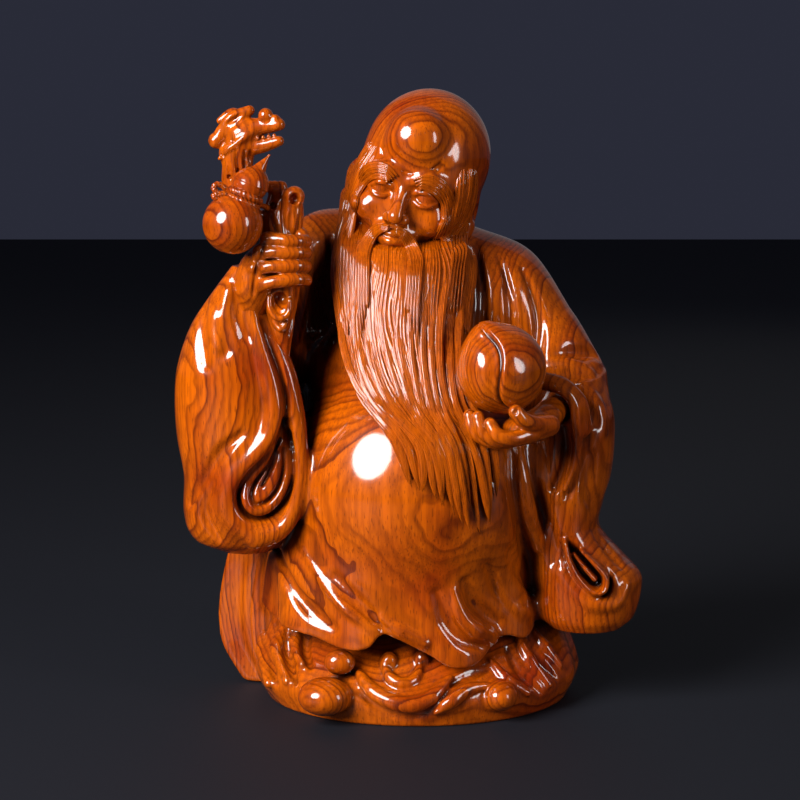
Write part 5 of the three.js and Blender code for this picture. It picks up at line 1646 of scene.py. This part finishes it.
class CARVING_OT_staff_hand(bpy.types.Operator):
    """Carves the staff, the hand round it, the gourd and its cord"""

    bl_idname = "carving.staff_hand"
    bl_label = "Carve staff and hand"

    def execute(self, context):
        cell = context.scene.carving_sizes.fine_cell / MM
        carved_piece("staff", staff().block((-126, -102, 220), (-50, -40, 392), cell))
        carved_piece("gripping_hand", gripping_hand().block((-126, -102, 238), (-52, -22, 320), cell))
        make_piece("gourd", *gourd())
        make_piece("gourd_cord", *gourd_cords())
        return {"FINISHED"}


class CARVING_OT_peach_hand(bpy.types.Operator):
    """Carves the peach and the hand below it"""

    bl_idname = "carving.peach_hand"
    bl_label = "Carve peach and hand"

    def execute(self, context):
        cell = context.scene.carving_sizes.fine_cell / MM
        carved_piece("open_hand", open_hand().block((20, -138, 170), (126, -22, 230), cell))
        make_piece("peach", *peach())
        return {"FINISHED"}


class CARVING_OT_hair(bpy.types.Operator):
    """Carves the beard, the brows, the moustache and the hair round the head"""

    bl_idname = "carving.hair"
    bl_label = "Carve hair"

    def execute(self, context):
        make_piece("beard", *hair_sheet(beard_surface, 44, 9, 5.5, 200, 460, 0.16))
        make_piece("beard_locks", *beard_locks())
        make_piece("face_hair", *face_hair())
        make_piece("back_hair", *hair_sheet(back_hair_surface, 60, 10, 2, 60, 600, 0.06))
        return {"FINISHED"}


# The stage, in metres, and the view: the target stands at a pixel of a square picture

TARGET = (0, 0, 0.2)
FLOOR_HALF = 4
FLOOR_COLOUR = (0.005, 0.0055, 0.009, 1)
ROOM_COLOUR = (0.5, 0.54, 0.86, 1)
ROOM_STRENGTH = 0.045
BACK_SHARE = 0.2
PICTURE_SIDE = 800
TARGET_PIXEL = (408, 389)
SENSOR_WIDTH = 36

# From 1500 mm away a pixel of the picture spans 0.655 mm at the target

FOCAL_PIXELS = 1500 / 0.655


def aim(thing, place):
    """Stands a lamp or camera at a place and turns it to the target."""
    thing.location = place
    thing.rotation_euler = (Vector(TARGET) - thing.location).to_track_quat("-Z", "Y").to_euler()
    bpy.context.scene.collection.objects.link(thing)


def soft_light(name, place, size, power):
    light = bpy.data.lights.new(name, "AREA")
    light.shape = "ELLIPSE"
    light.size, light.size_y = size
    light.energy = power
    aim(bpy.data.objects.new(name, light), place)


def lay_floor():
    mesh = bpy.data.meshes.new("floor")
    half = FLOOR_HALF
    corners = [(-half, -half, 0), (half, -half, 0), (half, half, 0), (-half, half, 0)]
    mesh.from_pydata(corners, [], [(0, 1, 2, 3)])
    paint = bpy.data.materials.new("slate_floor")
    paint.use_nodes = True
    shader = paint.node_tree.nodes["Principled BSDF"]
    shader.inputs["Base Color"].default_value = FLOOR_COLOUR
    shader.inputs["Roughness"].default_value = 0.7
    shader.inputs["Specular IOR Level"].default_value = 0.2
    mesh.materials.append(paint)
    floor = bpy.data.objects.new("floor", mesh)
    bpy.context.scene.collection.objects.link(floor)


def set_camera(studio):
    camera = bpy.data.cameras.new("camera")
    camera.sensor_width = SENSOR_WIDTH
    camera.lens = FOCAL_PIXELS * SENSOR_WIDTH / PICTURE_SIDE
    across, down = TARGET_PIXEL
    camera.shift_x = (PICTURE_SIDE / 2 - across) / PICTURE_SIDE
    camera.shift_y = (down - PICTURE_SIDE / 2) / PICTURE_SIDE
    eye = bpy.data.objects.new("camera", camera)
    rise = math.sin(studio.elevation)
    run = math.cos(studio.elevation)
    aim(eye, (0, -studio.distance * run, TARGET[2] + studio.distance * rise))
    bpy.context.scene.camera = eye


class CARVING_OT_stage(bpy.types.Operator):
    """Sets the floor, the lights and the camera"""

    bl_idname = "carving.stage"
    bl_label = "Set stage"

    def execute(self, context):
        scene = context.scene
        studio = scene.studio_settings
        lay_floor()
        soft_light("key_light", (-1.06, -1.06, 0.94), (1.0, 1.1), studio.key_power)
        soft_light("fill_light", (1.35, -0.9, 0.55), (0.35, 0.9), studio.fill_power)
        soft_light("back_light", (0.5, 1.8, 1.3), (2.4, 2.4), BACK_SHARE * studio.fill_power)
        world = bpy.data.worlds.new("soft_room")
        world.use_nodes = True
        background = world.node_tree.nodes["Background"].inputs
        background[0].default_value = ROOM_COLOUR
        background[1].default_value = ROOM_STRENGTH
        scene.world = world
        scene.view_settings.view_transform = "Standard"
        set_camera(studio)
        return {"FINISHED"}


STEPS = (
    CARVING_OT_stage,
    CARVING_OT_robe,
    CARVING_OT_base,
    CARVING_OT_head,
    CARVING_OT_staff_hand,
    CARVING_OT_peach_hand,
    CARVING_OT_hair,
)

GROUPS = {
    "rosewood_finish": RosewoodFinish,
    "carving_sizes": CarvingSizes,
    "studio_settings": StudioSettings,
}


class CARVING_PT_panel(bpy.types.Panel):
    """Settings and steps of the carving"""

    bl_label = "Rosewood Shou Lao"
    bl_idname = "CARVING_PT_panel"
    bl_space_type = "VIEW_3D"
    bl_region_type = "UI"
    bl_category = "Carving"

    def draw(self, context):
        listing = self.layout.column()
        for name, group in GROUPS.items():
            for setting in group.__annotations__:
                listing.prop(getattr(context.scene, name), setting)
        for step in STEPS:
            listing.operator(step.bl_idname)


def register():
    for kind in (*GROUPS.values(), *STEPS, CARVING_PT_panel):
        bpy.utils.register_class(kind)
    for name, group in GROUPS.items():
        setattr(bpy.types.Scene, name, PointerProperty(type=group))


def unregister():
    for name in GROUPS:
        delattr(bpy.types.Scene, name)
    for kind in (CARVING_PT_panel, *reversed(STEPS), *GROUPS.values()):
        bpy.utils.unregister_class(kind)


def main():
    register()
    for step in STEPS:
        group, name = step.bl_idname.split(".")
        getattr(getattr(bpy.ops, group), name)()


if __name__ == "__main__":
    main()
